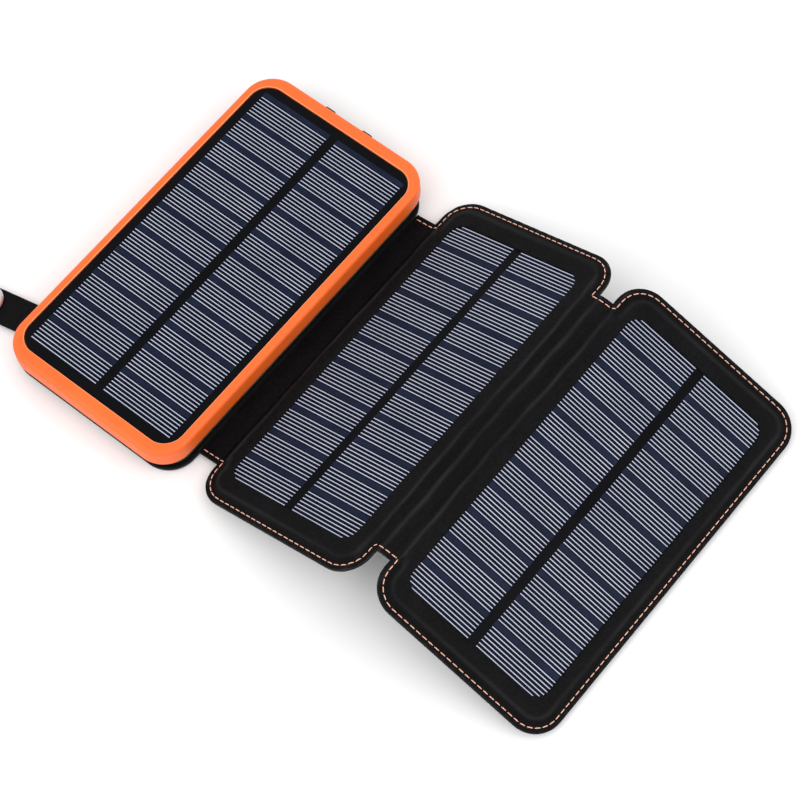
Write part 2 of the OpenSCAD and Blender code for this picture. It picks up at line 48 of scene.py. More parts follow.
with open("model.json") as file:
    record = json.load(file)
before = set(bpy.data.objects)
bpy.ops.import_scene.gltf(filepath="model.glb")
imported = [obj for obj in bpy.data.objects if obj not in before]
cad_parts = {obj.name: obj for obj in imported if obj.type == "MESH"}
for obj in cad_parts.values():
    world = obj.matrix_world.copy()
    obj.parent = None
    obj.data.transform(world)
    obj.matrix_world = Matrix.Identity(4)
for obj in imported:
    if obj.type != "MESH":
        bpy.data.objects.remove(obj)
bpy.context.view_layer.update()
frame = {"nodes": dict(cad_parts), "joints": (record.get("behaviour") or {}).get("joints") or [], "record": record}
JOINTS = {j["name"]: j for j in frame["joints"]}


def fold_point(joint):
    """[x, z] of a fold line in millimetres."""
    x, _, z = JOINTS[joint]["pos_m"]
    return np.array([x, z]) / MM


def node_box(node):
    """Lowest and highest corner of a CAD node in millimetres."""
    low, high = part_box(node)
    return np.array(low) / MM, np.array(high) / MM


# ---------------------------------------------------------------- sizes from the frame

FOLD_A, FOLD_B, FOLD_C, FOLD_D = (fold_point("fold_" + c) for c in "abcd")
CASE_LOW, CASE_HIGH = node_box("case_upper")
CASE_FOOT = node_box("case_lower")[0]
CASE_W = CASE_HIGH[0] - CASE_LOW[0]
CASE_L = CASE_HIGH[1] - CASE_LOW[1]
CASE_TOP = CASE_HIGH[2]
SEAM_Z = CASE_LOW[2]
CASE_Z = CASE_FOOT[2]
BACK_LOW, BACK_HIGH = node_box("back_skin")
LEAF_2_LOW, LEAF_2_HIGH = node_box("panel_2_outer_skin")
SPINE_1_LOW, SPINE_1_HIGH = node_box("hinge_1_outer_skin")
SPINE_2_LOW, SPINE_2_HIGH = node_box("hinge_2_outer_skin")
BOARD_LOW = node_box("bank_solar_board")[0]
FILM_LOW, FILM_HIGH = node_box("bank_film")
LEAF_Y = (LEAF_2_LOW[1] + LEAF_2_HIGH[1]) / 2
LEAF_L = LEAF_2_HIGH[1] - LEAF_2_LOW[1]
BACK_Y = (BACK_LOW[1] + BACK_HIGH[1]) / 2
BACK_L = BACK_HIGH[1] - BACK_LOW[1]
SPINE_Y = ((SPINE_1_LOW[1] + SPINE_1_HIGH[1]) / 2, (SPINE_2_LOW[1] + SPINE_2_HIGH[1]) / 2)
SPINE_L = SPINE_2_HIGH[1] - SPINE_2_LOW[1]
BOARD_W = FILM_HIGH[0] - FILM_LOW[0]
BOARD_L = FILM_HIGH[1] - FILM_LOW[1]

# Distances along the folder, measured across the folds from fold A
S_B = float(np.linalg.norm(FOLD_B - FOLD_A))
S_C = S_B + float(np.linalg.norm(FOLD_C - FOLD_B))
S_D = S_C + float(np.linalg.norm(FOLD_D - FOLD_C))
LEAF_3_W = 83.2
S_END = S_D + LEAF_3_W
S_BACK = BACK_LOW[0] - FOLD_A[0]
FOLD_GAP = FOLD_A[0] - BACK_HIGH[0]


def slope(start, end):
    return math.atan2(end[1] - start[1], end[0] - start[0])


def leaf_3_slope():
    """Slope of leaf 3, from the two ends of its lower face."""
    co = np.array([v.co for v in frame["nodes"]["panel_3_outer_skin"].data.vertices])
    co = co[:, [0, 2]] / MM
    return slope(co[co[:, 0].argmin()], co[co[:, 1].argmin()])


FOLDS = [
    (0.0, FOLD_A, 0.0, slope(FOLD_A, FOLD_B)),
    (S_B, FOLD_B, slope(FOLD_A, FOLD_B), slope(FOLD_B, FOLD_C)),
    (S_C, FOLD_C, slope(FOLD_B, FOLD_C), slope(FOLD_C, FOLD_D)),
    (S_D, FOLD_D, slope(FOLD_C, FOLD_D), leaf_3_slope()),
]
BEND = 2.0  # half the length over which a fold is rounded


def place(s, v, w):
    """Points at s across the folds, v along them and w above the middle plane, in the row frame."""
    s, v, w = (np.asarray(a, float) for a in np.broadcast_arrays(s, v, w))
    edges = [(a[0] + b[0]) / 2 for a, b in zip(FOLDS, FOLDS[1:])]
    which = np.digitize(s, edges)
    out = np.zeros(s.shape + (3,))
    for i, (s0, point, before, after) in enumerate(FOLDS):
        here = which == i
        q = s[here] - s0
        d0 = np.array([math.cos(before), math.sin(before)])
        d1 = np.array([math.cos(after), math.sin(after)])
        t = np.clip((q + BEND) / (2 * BEND), 0, 1)[:, None]
        mid = point - d0 * BEND * (1 - t) ** 2 + d1 * BEND * t**2
        mid = mid + d0 * np.minimum(q + BEND, 0)[:, None] + d1 * np.maximum(q - BEND, 0)[:, None]
        tangent = d0 * (1 - t) + d1 * t
        tangent /= np.linalg.norm(tangent, axis=1)[:, None]
        out[here, 0] = mid[:, 0] - tangent[:, 1] * w[here]
        out[here, 2] = mid[:, 1] + tangent[:, 0] * w[here]
        out[here, 1] = v[here]
    return out


# ---------------------------------------------------------------- meshes


def smooth(t):
    t = np.clip(t, 0, 1)
    return t * t * (3 - 2 * t)


def make_mesh(name, points, faces, materials, indices=None, angle=35, attribute=None):
    """Mesh object from points in millimetres, shaded smooth where faces meet below angle."""
    mesh = bpy.data.meshes.new(name)
    mesh.from_pydata((np.asarray(points, float) * MM).tolist(), [], [list(f) for f in faces])
    for m in materials:
        mesh.materials.append(m)
    if indices is not None:
        mesh.polygons.foreach_set("material_index", indices)
    if attribute is not None:
        # The point attribute carries edge wear and a painted highlight and shade for the leather.
        layer = mesh.attributes.new("wear_and_painted_light", "FLOAT", "POINT")
        layer.data.foreach_set("value", np.asarray(attribute, np.float32))
    mesh.validate()
    mesh.update()
    obj = bpy.data.objects.new(name, mesh)
    bpy.context.scene.collection.objects.link(obj)
    if angle:
        mesh.polygons.foreach_set("use_smooth", [True] * len(mesh.polygons))
        mesh.set_sharp_from_angle(angle=math.radians(angle))
    return obj


class Parts:
    """Several closed shapes gathered into one mesh."""

    def __init__(self):
        self.points, self.faces, self.indices = [], [], []

    def add(self, points, faces, index=0):
        base = len(self.points)
        self.points.extend(np.asarray(points, float).tolist())
        self.faces.extend([[base + k for k in f] for f in faces])
        self.indices.extend([index] * len(faces))

    def build(self, name, materials, angle=35, move=None):
        points = np.array(self.points)
        if move is not None:
            points = move(points)
        return make_mesh(name, points, self.faces, materials, self.indices, angle)


def corner_arcs(w, l, r, steps=10):
    """Outline of a rounded rectangle around the origin, counter-clockwise."""
    out = []
    for k, (sx, sy) in enumerate([(1, 1), (-1, 1), (-1, -1), (1, -1)]):
        for i in range(steps + 1):
            a = math.radians(90 * k + 90 * i / steps)
            out.append([sx * (w / 2 - r) + r * math.cos(a), sy * (l / 2 - r) + r * math.sin(a)])
    return np.array(out)


def loft(rings, closed=False):
    """Faces that join rings of equal length, capped at both ends unless closed into a tube."""
    n = len(rings[0])
    points = np.concatenate([np.asarray(r, float) for r in rings])
    faces = []
    for i in range(len(rings) if closed else len(rings) - 1):
        a, b = i * n, (i + 1) % len(rings) * n
        faces += [[a + k, a + (k + 1) % n, b + (k + 1) % n, b + k] for k in range(n)]
    if not closed:
        faces.append(list(range(n))[::-1])
        faces.append([(len(rings) - 1) * n + k for k in range(n)])
    return points, faces


def ring(w, l, r, z, centre=(0.0, 0.0), steps=10):
    flat = corner_arcs(w, l, r, steps) + np.array(centre)
    return np.column_stack([flat, np.full(len(flat), z)])


def rounded_plate(w, l, r, z0, z1, bevel, centre=(0.0, 0.0), steps=10):
    """Closed plate whose upper edge is rounded by bevel."""
    rings = [ring(w, l, r, z0, centre, steps), ring(w, l, r, z1 - bevel, centre, steps)]
    for a in (30, 60, 90):
        d = bevel * (1 - math.cos(math.radians(a)))
        z = z1 - bevel + bevel * math.sin(math.radians(a))
        rings.append(ring(w - 2 * d, l - 2 * d, r - d, z, centre, steps))
    return loft(rings)


def box_shape(low, high):
    x, y, z = zip(low, high)
    points = [[x[i], y[j], z[k]] for k in (0, 1) for j in (0, 1) for i in (0, 1)]
    faces = [[0, 2, 3, 1], [4, 5, 7, 6], [0, 1, 5, 4], [1, 3, 7, 5], [3, 2, 6, 7], [2, 0, 4, 6]]
    return points, faces


def lathe(profile, centre, steps=48):
    """Closed solid turned around +Z from [radius, height] points that start and end on the axis."""
    rings, points, faces = profile[1:-1], [[centre[0], centre[1], centre[2] + profile[0][1]]], []
    for r, h in rings:
        for k in range(steps):
            a = 2 * math.pi * k / steps
            points.append([centre[0] + r * math.cos(a), centre[1] + r * math.sin(a), centre[2] + h])
    points.append([centre[0], centre[1], centre[2] + profile[-1][1]])
    last = len(points) - 1
    for k in range(steps):
        j = (k + 1) % steps
        faces.append([0, 1 + j, 1 + k])
        for i in range(len(rings) - 1):
            a, b = 1 + i * steps, 1 + (i + 1) * steps
            faces.append([a + k, a + j, b + j, b + k])
        faces.append([last - steps + k, last - steps + j, last])
    return points, faces


def cylinder_shape(centre, r, z0, z1, steps=32):
    return lathe([[0, z0], [r, z0], [r, z1], [0, z1]], (centre[0], centre[1], 0), steps)


def boolean(target, parts, operation):
    """Applies a boolean of target with a mesh of parts."""
    tool = parts.build("tool", [], 0)
    modifier = target.modifiers.new("cut", "BOOLEAN")
    modifier.operation = operation
    modifier.solver = "EXACT"
    modifier.object = tool
    graph = bpy.context.evaluated_depsgraph_get()
    mesh = bpy.data.meshes.new_from_object(target.evaluated_get(graph))
    target.modifiers.clear()
    target.data = mesh
    bpy.data.objects.remove(tool)


# ---------------------------------------------------------------- materials


def srgb(r, g, b):
    """Linear colour from 0 to 255 values."""
    out = []
    for c in (r, g, b):
        c /= 255
        out.append(c / 12.92 if c <= 0.04045 else ((c + 0.055) / 1.055) ** 2.4)
    return (*out, 1)


class Nodes:
    """Short hand for one material's node tree."""

    def __init__(self, name):
        self.material = bpy.data.materials.new(name)
        self.material.use_nodes = True
        self.tree = self.material.node_tree
        self.shader = self.tree.nodes["Principled BSDF"]
        self.place = self.add("ShaderNodeTexCoord").outputs["Object"]

    def add(self, kind, **values):
        node = self.tree.nodes.new(kind)
        for key, value in values.items():
            setattr(node, key, value)
        return node

    def link(self, a, b):
        self.tree.links.new(a, b)

    def noise(self, scale, detail=3.0, roughness=0.5, vector=None):
        node = self.add("ShaderNodeTexNoise")
        node.inputs["Scale"].default_value = scale
        node.inputs["Detail"].default_value = detail
        node.inputs["Roughness"].default_value = roughness
        self.link(vector or self.place, node.inputs["Vector"])
        return node.outputs["Fac"]

    def ramp(self, fac, stops):
        node = self.add("ShaderNodeValToRGB")
        elements = node.color_ramp.elements
        elements[0].position, elements[0].color = stops[0]
        elements[1].position, elements[1].color = stops[-1]
        for position, color in stops[1:-1]:
            elements.new(position).color = color
        self.link(fac, node.inputs["Fac"])
        return node.outputs["Color"]

    def scale_to(self, fac, low, high):
        node = self.add("ShaderNodeMapRange")
        node.inputs["To Min"].default_value = low
        node.inputs["To Max"].default_value = high
        self.link(fac, node.inputs["Value"])
        return node.outputs["Result"]

    def mix(self, fac, a, b):
        node = self.add("ShaderNodeMix", data_type="RGBA")
        for socket, value in ((node.inputs["Factor"], fac), (node.inputs["A"], a), (node.inputs["B"], b)):
            if isinstance(value, bpy.types.NodeSocket):
                self.link(value, socket)
            else:
                socket.default_value = value
        return node.outputs["Result"]

    def bump(self, height, distance, strength=1.0, normal=None):
        node = self.add("ShaderNodeBump")
        node.inputs["Distance"].default_value = distance * MM
        node.inputs["Strength"].default_value = strength
        self.link(height, node.inputs["Height"])
        if normal is not None:
            self.link(normal, node.inputs["Normal"])
        return node.outputs["Normal"]

    def finish(self, color, roughness, normal=None, **values):
        for name, value in (("Base Color", color), ("Roughness", roughness), ("Normal", normal)):
            if isinstance(value, bpy.types.NodeSocket):
                self.link(value, self.shader.inputs[name])
            elif value is not None:
                self.shader.inputs[name].default_value = value
        for name, value in values.items():
            self.shader.inputs[name.replace("_", " ")].default_value = value
        return self.material


def plastic(name, dark, light, roughness, specular=0.4, grain=0.012, grain_scale=3500.0, **values):
    """Moulded plastic: faint tone changes, spark-eroded grain and a few soft scuffs."""
    n = Nodes(name)
    tone = n.noise(45.0, 2.0)
    fine = n.noise(grain_scale, 2.0, 0.6)
    color = n.ramp(tone, [(0.3, dark), (0.7, light)])
    rough = n.scale_to(n.noise(140.0, 4.0), roughness - 0.05, roughness + 0.06)
    normal = n.bump(fine, grain)
    return n.finish(color, rough, normal, Specular_IOR_Level=specular, **values)


def metal(name, dark, light, roughness, **values):
    """Brushed or plated metal with fine drawn lines."""
    n = Nodes(name)
    mapping = n.add("ShaderNodeMapping")
    mapping.inputs["Scale"].default_value = (1, 14, 1)
    n.link(n.place, mapping.inputs["Vector"])
    lines = n.noise(900.0, 3.0, 0.6, mapping.outputs["Vector"])
    color = n.ramp(n.noise(160.0), [(0.3, dark), (0.7, light)])
    rough = n.scale_to(lines, roughness - 0.06, roughness + 0.08)
    return n.finish(color, rough, n.bump(lines, 0.006), Metallic=1.0, **values)


def leather(name):
    """Black pebbled leather, greyer where its point attribute is above 0 (rubbed edges, and a painted highlight
    along crease and board ridges) and darker where it is below 0 (painted shade in folds and valleys).
    """
    n = Nodes(name)
    warp = n.noise(260.0, 2.0)
    shift = n.add("ShaderNodeVectorMath", operation="MULTIPLY_ADD")
    n.link(warp, shift.inputs[0])
    shift.inputs[1].default_value = (0.0011, 0.0011, 0.0011)
    n.link(n.place, shift.inputs[2])
    cells = n.add("ShaderNodeTexVoronoi", feature="SMOOTH_F1")
    cells.inputs["Scale"].default_value = 950.0
    cells.inputs["Smoothness"].default_value = 0.6
    n.link(shift.outputs[0], cells.inputs["Vector"])
    pebble = cells.outputs["Distance"]
    fine = n.noise(4200.0, 3.0, 0.6)
    broad = n.noise(55.0, 3.0, 0.55)
    color = n.ramp(broad, [(0.3, srgb(11, 11, 13)), (0.7, srgb(17, 17, 19))])
    pits = n.ramp(pebble, [(0.25, (1, 1, 1, 1)), (0.75, (0.55, 0.55, 0.56, 1))])
    shade = n.add("ShaderNodeMix", data_type="RGBA", blend_type="MULTIPLY")
    shade.inputs["Factor"].default_value = 1.0
    n.link(color, shade.inputs["A"])
    n.link(pits, shade.inputs["B"])
    # The point attribute above 0 mixes towards pale grey: edge wear, and a painted highlight on ridges.
    wear_and_painted_light = n.add("ShaderNodeAttribute", attribute_name="wear_and_painted_light")
    color = n.mix(wear_and_painted_light.outputs["Fac"], shade.outputs["Result"], srgb(54, 53, 54))
    # Below 0 it mixes towards near black: painted shade in folds and valleys.
    painted_fold_shade = n.add("ShaderNodeMath", operation="MULTIPLY")
    n.link(wear_and_painted_light.outputs["Fac"], painted_fold_shade.inputs[0])
    painted_fold_shade.inputs[1].default_value = -1.0
    color = n.mix(painted_fold_shade.outputs[0], color, srgb(2, 2, 3))
    rough = n.scale_to(n.noise(120.0, 4.0), 0.5, 0.68)
    invert = n.scale_to(pebble, 1.0, 0.0)
    normal = n.bump(invert, 0.10, 0.8, n.bump(fine, 0.012))
    return n.finish(color, rough, normal, Specular_IOR_Level=0.07)


def thread():
    """Twisted orange thread."""
    n = Nodes("stitch_thread")
    twist = n.add("ShaderNodeTexWave", wave_type="BANDS", bands_direction="DIAGONAL")
    twist.inputs["Scale"].default_value = 900.0
    twist.inputs["Distortion"].default_value = 1.5
    n.link(n.place, twist.inputs["Vector"])
    color = n.ramp(twist.outputs["Fac"], [(0.2, srgb(232, 150, 118)), (0.8, srgb(255, 212, 194))])
    return n.finish(color, 0.7, n.bump(twist.outputs["Fac"], 0.05), Specular_IOR_Level=0.3)


def solar(name, dark, light, roughness, coat=0.6, flecks=0.0, specular=0.25):
    """Printed or crystalline layer under a clear glossy film."""
    n = Nodes(name)
    color = n.ramp(n.noise(70.0, 4.0, 0.6), [(0.3, dark), (0.7, light)])
    if flecks:
        grains = n.add("ShaderNodeTexVoronoi", feature="F1")
        grains.inputs["Scale"].default_value = 600.0
        n.link(n.place, grains.inputs["Vector"])
        tint = n.ramp(grains.outputs["Color"], [(0.0, (1 - flecks,) * 3 + (1,)), (1.0, (1, 1, 1, 1))])
        shade = n.add("ShaderNodeMix", data_type="RGBA", blend_type="MULTIPLY")
        shade.inputs["Factor"].default_value = 1.0
        n.link(color, shade.inputs["A"])
        n.link(tint, shade.inputs["B"])
        color = shade.outputs["Result"]
    rough = n.scale_to(n.noise(30.0, 3.0), roughness - 0.04, roughness + 0.06)
    ripple = n.bump(n.noise(220.0, 2.0), 0.010)
    n.finish(color, rough, ripple, Specular_IOR_Level=specular, Coat_Weight=coat, Coat_Roughness=0.12)
    return n.material


ORANGE = plastic("orange_plastic", srgb(240, 100, 31), srgb(245, 107, 37), 0.46, 0.42)
# Paler orange for the thin lip round the solar window: a painted highlight of its rounded edge.
ORANGE_LIP_HIGHLIGHT = plastic("orange_lip_painted_highlight", srgb(248, 142, 92), srgb(252, 156, 108), 0.4, 0.5)
BLACK_PLASTIC = plastic("black_plastic", srgb(24, 24, 26), srgb(32, 32, 34), 0.5, 0.3)
STEEL = metal("steel", (0.5, 0.5, 0.5, 1), (0.66, 0.66, 0.66, 1), 0.3)
LAMINATE = solar("solar_laminate", srgb(5, 6, 9), srgb(10, 10, 14), 0.5, 0.03, 0.0, 0.04)
CELL = solar("solar_cell", srgb(3, 4, 16), srgb(7, 8, 25), 0.4, 0.04, 0.4, 0.05)
BAND = solar("cell_band", srgb(20, 26, 46), srgb(29, 36, 58), 0.4, 0.04, 0.25, 0.05)
FINGER = solar("cell_finger", srgb(168, 175, 197), srgb(187, 193, 212), 0.5, 0.04, 0.0, 0.05)
LEATHER = leather("leather")
THREAD = thread()
RUBBER = plastic("rubber", srgb(9, 9, 10), srgb(16, 16, 17), 0.8, 0.12, 0.03, 1800.0)
WHITE_PLASTIC = plastic("white_plastic", srgb(225, 225, 220), srgb(238, 238, 235), 0.45)
CHIP = plastic("chip_plastic", srgb(22, 22, 24), srgb(36, 36, 38), 0.6)
FOAM = plastic("foam", srgb(60, 60, 62), srgb(96, 96, 98), 0.9, 0.2, 0.3, 900.0)
WIRE = plastic("wire", srgb(150, 18, 16), srgb(180, 30, 24), 0.4, 0.5, 0.01, 1500.0)
LEAD = plastic("flat_lead", srgb(120, 72, 28), srgb(160, 100, 44), 0.35, 0.5, 0.01, 800.0)
FIBREBOARD = plastic("fibreboard", srgb(92, 84, 74), srgb(128, 118, 102), 0.85, 0.2, 0.06, 1400.0)
POUCH = metal("battery_pouch", (0.42, 0.43, 0.45, 1), (0.6, 0.6, 0.62, 1), 0.42)
LIGHT = plastic("light_window", srgb(225, 230, 235), srgb(240, 243, 246), 0.3, 0.5, 0.004, 1200.0)
LIGHT.node_tree.nodes["Principled BSDF"].inputs["Transmission Weight"].default_value = 0.35


def circuit_board():
    """Green solder mask with paler copper areas under it."""
    n = Nodes("circuit_board")
    copper = n.add("ShaderNodeTexVoronoi", feature="F1", distance="MANHATTAN")
    copper.inputs["Scale"].default_value = 320.0
    n.link(n.place, copper.inputs["Vector"])
    color = n.ramp(copper.outputs["Distance"], [(0.35, srgb(12, 70, 40)), (0.42, srgb(20, 96, 56))])
    return n.finish(color, 0.35, n.bump(copper.outputs["Distance"], 0.03), Specular_IOR_Level=0.5)


SLOTS = {
    "orange_plastic": ORANGE, "black_plastic": BLACK_PLASTIC, "steel": STEEL, "solar_laminate": LAMINATE,
    "solar_cell": CELL, "battery_pouch": POUCH, "foam": FOAM, "wire": WIRE,
    "circuit_board": circuit_board(), "chip_plastic": CHIP, "white_plastic": WHITE_PLASTIC,
    "light_window": LIGHT, "rubber": RUBBER, "fibreboard": FIBREBOARD, "flat_lead": LEAD,
    "leather": LEATHER, "clear_film": LAMINATE,
}


# ---------------------------------------------------------------- bank case

CASE_R = 12.5
TOP_R = 2.0
UNDER_R = 7.0
WALL = 1.8
LIP = 0.32
RECESS_Z = BOARD_LOW[2] - 0.02
DECK_T = 1.4
PLUG_LOW, PLUG_HIGH = node_box("port_plug_left")
PLUG_RIGHT_LOW, PLUG_RIGHT_HIGH = node_box("port_plug_right")
BUTTON_LOW, BUTTON_HIGH = node_box("power_button")
WINDOW_LOW, WINDOW_HIGH = node_box("led_window")
PORT_Z = (BUTTON_LOW[2] + BUTTON_HIGH[2]) / 2
FIT = 0.15
BUTTON_SIZE = (9, 4)
LIGHT_SIZE = (12, 2.4)
USB_BOSS = (11.8, 4.6)
MICRO_BOSS = (7, 2.6)


def case_ring(inset, z):
    return ring(CASE_W - 2 * inset, CASE_L - 2 * inset, max(CASE_R - inset, 1), z, steps=14)


def under_inset(z, wall=0.0):
    """How far the rounded underside lies inside the case's widest outline at height z."""
    r = UNDER_R - wall
    drop = max(UNDER_R - (z - CASE_Z), 0)
    return wall + r - math.sqrt(max(r * r - drop * drop, 0))


def make_case_frame():
    rings = []
    deck_z = RECESS_Z - DECK_T
    for z in (deck_z, CASE_Z + UNDER_R, CASE_Z + 6, CASE_Z + 5, CASE_Z + 4, SEAM_Z):
        rings.append(case_ring(max(under_inset(z, WALL), WALL), z))
    chamfer = 0.25
    rings.append(case_ring(under_inset(SEAM_Z) + chamfer, SEAM_Z))
    rings.append(case_ring(under_inset(SEAM_Z + chamfer), SEAM_Z + chamfer))
    for z in (3.8, 4.4, 5.0, 5.6, 6.2, 7.0):
        rings.append(case_ring(under_inset(CASE_Z + z), CASE_Z + z))
    for a in range(0, 91, 10):
        d = TOP_R * (1 - math.cos(math.radians(a)))
        rings.append(case_ring(d, CASE_TOP - TOP_R + TOP_R * math.sin(math.radians(a))))
    w, l, r = BOARD_W + 0.6, BOARD_L + 0.6, 8.3
    for grow, drop in ((LIP, 0), (LIP * 0.3, LIP * 0.3), (0, LIP)):
        rings.append(ring(w + 2 * grow, l + 2 * grow, r + grow, CASE_TOP - drop, steps=14))
    rings.append(ring(w, l, r, RECESS_Z, steps=14))
    points, faces = loft(rings)
    case = make_mesh("case_frame", points, faces, [ORANGE], angle=0)
    bosses = Parts()
    screws_high = node_box("case_screws")[1]
    screw_x, screw_y = screws_high[0] - 1.9, screws_high[1] - 1.9
    spots = [(sx * screw_x, sy * screw_y) for sx in (-1, 1) for sy in (-1, 1)]
    for spot in spots:
        bosses.add(*cylinder_shape(spot, 2.6, SEAM_Z + 0.2, deck_z + 0.4))
    boolean(case, bosses, "UNION")
    # The flap pockets overlap the port openings, so each gets its own cut.
    end = CASE_L / 2
    pockets = Parts()
    for low, high in ((PLUG_LOW, PLUG_HIGH), (PLUG_RIGHT_LOW, PLUG_RIGHT_HIGH)):
        x0, x1, z0, z1 = low[0] - FIT, high[0] + FIT, low[2] - FIT, high[2] + FIT
        pockets.add(*pill_along_y(x0, x1, z0, z1, 1.2, end - 1.4, end + 2))
    boolean(case, pockets, "DIFFERENCE")
    holes = Parts()
    for spot in spots:
        holes.add(*cylinder_shape(spot, 1.05, SEAM_Z - 1, deck_z - 1))
    for node, height in (("usb_socket_left", 6), ("usb_socket_right", 6), ("micro_usb_insert", 3.8)):
        low, high = node_box(node)
        x, half = (low[0] + high[0]) / 2, (high[0] - low[0]) / 2 + 0.25
        z0, z1 = PORT_Z - height / 2, PORT_Z + height / 2
        holes.add(*pill_along_y(x - half, x + half, z0, z1, 0.4, end - 5, end))
    side = -CASE_W / 2
    for low, high, (length, height) in (
        (BUTTON_LOW, BUTTON_HIGH, BUTTON_SIZE), (WINDOW_LOW, WINDOW_HIGH, LIGHT_SIZE),
    ):
        y = (low[1] + high[1]) / 2
        holes.add(*pill_along_x(y, PORT_Z, length + 2 * FIT, height + 2 * FIT, side - 2, side + 4))
    boolean(case, holes, "DIFFERENCE")
    case.data.polygons.foreach_set("use_smooth", [True] * len(case.data.polygons))
    case.data.set_sharp_from_angle(angle=math.radians(28))
    case.data.materials.clear()
    case.data.materials.append(ORANGE)
    case.data.materials.append(ORANGE_LIP_HIGHLIGHT)
    # The lip's sloped faces take the paler orange, a painted highlight.
    for face in case.data.polygons:
        x, y, z = np.array(face.center) / MM
        q = np.abs([x, y]) - np.array([w, l]) / 2 + r
        outside = math.hypot(*np.maximum(q, 0)) + min(q.max(), 0) - r
        on_highlight_lip = z > CASE_TOP - LIP and 0 < outside < LIP
        face.material_index = int(on_highlight_lip and 0.001 < face.normal.z < 0.98)
    shade = case.modifiers.new("shade", "WEIGHTED_NORMAL")
    shade.keep_sharp = True
    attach(case, "bank")
    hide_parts("case_upper")


def pill_along_y(x0, x1, z0, z1, r, y0, y1, bevel=0.0, steps=5):
    """Rounded bar along Y, its far end rounded by bevel."""
    outline = [(0.0, y0), (0.0, y1 - bevel)] if bevel else [(0.0, y0), (0.0, y1)]
    for a in (30, 60, 90) if bevel else ():
        t = math.radians(a)
        outline.append((bevel * (1 - math.cos(t)), y1 - bevel + bevel * math.sin(t)))
    rings = []
    for inset, y in outline:
        flat = corner_arcs(x1 - x0 - 2 * inset, z1 - z0 - 2 * inset, max(r - inset, 0.05), steps)
        x, z = flat[:, 0] + (x0 + x1) / 2, flat[:, 1] + (z0 + z1) / 2
        rings.append(np.column_stack([x, np.full(len(x), y), z])[::-1])
    return loft(rings)


def pill_along_x(y, z, length, height, x0, x1, bevel=0.0, steps=8):
    """Bar with round ends along X, its near end (x0) rounded by bevel."""
    rings = []
    profile = [(0.0, x1), (0.0, x0 + bevel)]
    for a in (30, 60, 90) if bevel else ():
        t = math.radians(a)
        profile.append((bevel * (1 - math.cos(t)), x0 + bevel - bevel * math.sin(t)))
    for inset, x in profile:
        flat = corner_arcs(length - 2 * inset, height - 2 * inset, height / 2 - inset - 0.01, steps)
        rings.append(np.column_stack([np.full(len(flat), x), flat[:, 0] + y, flat[:, 1] + z])[::-1])
    return loft(rings)


def make_plugs():
    """Rubber plugs: a thin cover, the bosses that fill the ports, and a pull tab."""
    sockets = {n: node_box(n) for n in ("usb_socket_left", "usb_socket_right", "micro_usb_insert")}
    centre = {n: (b[0][0] + b[1][0]) / 2 for n, b in sockets.items()}
    inner = sockets["usb_socket_left"][1][1] + 0.1
    rows = (
        ("left", PLUG_LOW, PLUG_HIGH, [("usb_socket_left", USB_BOSS), ("micro_usb_insert", MICRO_BOSS)]),
        ("right", PLUG_RIGHT_LOW, PLUG_RIGHT_HIGH, [("usb_socket_right", USB_BOSS)]),
    )
    for side, low, high, bosses in rows:
        front = CASE_L / 2 - 0.4
        back = CASE_L / 2 - 1.3
        tab_x = centre["usb_socket_" + side]
        parts = Parts()
        parts.add(*pill_along_y(low[0], high[0], low[2], high[2], 1.05, back, front, 0.3))
        for node, (w, h) in bosses:
            x = centre[node]
            z0, z1 = PORT_Z - h / 2, PORT_Z + h / 2
            parts.add(*pill_along_y(x - w / 2, x + w / 2, z0, z1, 0.4, inner, back + 0.1))
        tab_z = PORT_Z + 1.5
        x0, x1, z0, z1 = tab_x - 2.5, tab_x + 2.5, tab_z - 0.8, tab_z + 0.8
        parts.add(*pill_along_y(x0, x1, z0, z1, 0.75, front - 0.2, high[1], 0.5))
        for k in (-1, 0, 1):
            grip = 0.22
            x0, x1 = tab_x + k * 1.3 - grip, tab_x + k * 1.3 + grip
            z0, z1 = tab_z - 0.55, tab_z + 0.85
            parts.add(*pill_along_y(x0, x1, z0, z1, 0.2, front + 0.1, high[1] - 0.35, 0.15, 3))
        plug = parts.build("plug_" + side, [RUBBER])
        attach(plug, "plug_" + side)
        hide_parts("port_plug_" + side)


def make_button():
    y = (BUTTON_LOW[1] + BUTTON_HIGH[1]) / 2
    face = BUTTON_LOW[0]
    flange = BUTTON_HIGH[0] - 0.7
    parts = Parts()
    parts.add(*pill_along_x(y, PORT_Z, *BUTTON_SIZE, face, flange + 0.1, 0.5))
    parts.add(*pill_along_x(y, PORT_Z, 10.5, 5.2, flange, BUTTON_HIGH[0]))
    button = parts.build("button_cap", [BLACK_PLASTIC])
    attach(button, "button")
    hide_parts("power_button")


# ---------------------------------------------------------------- solar faces

COLUMN_W = 33.3
DIVIDER = 3.5
PITCH = 12.45
ROWS = 11
BAND_W = 2.0
FINGERS = 7
FINGER_W = 0.37


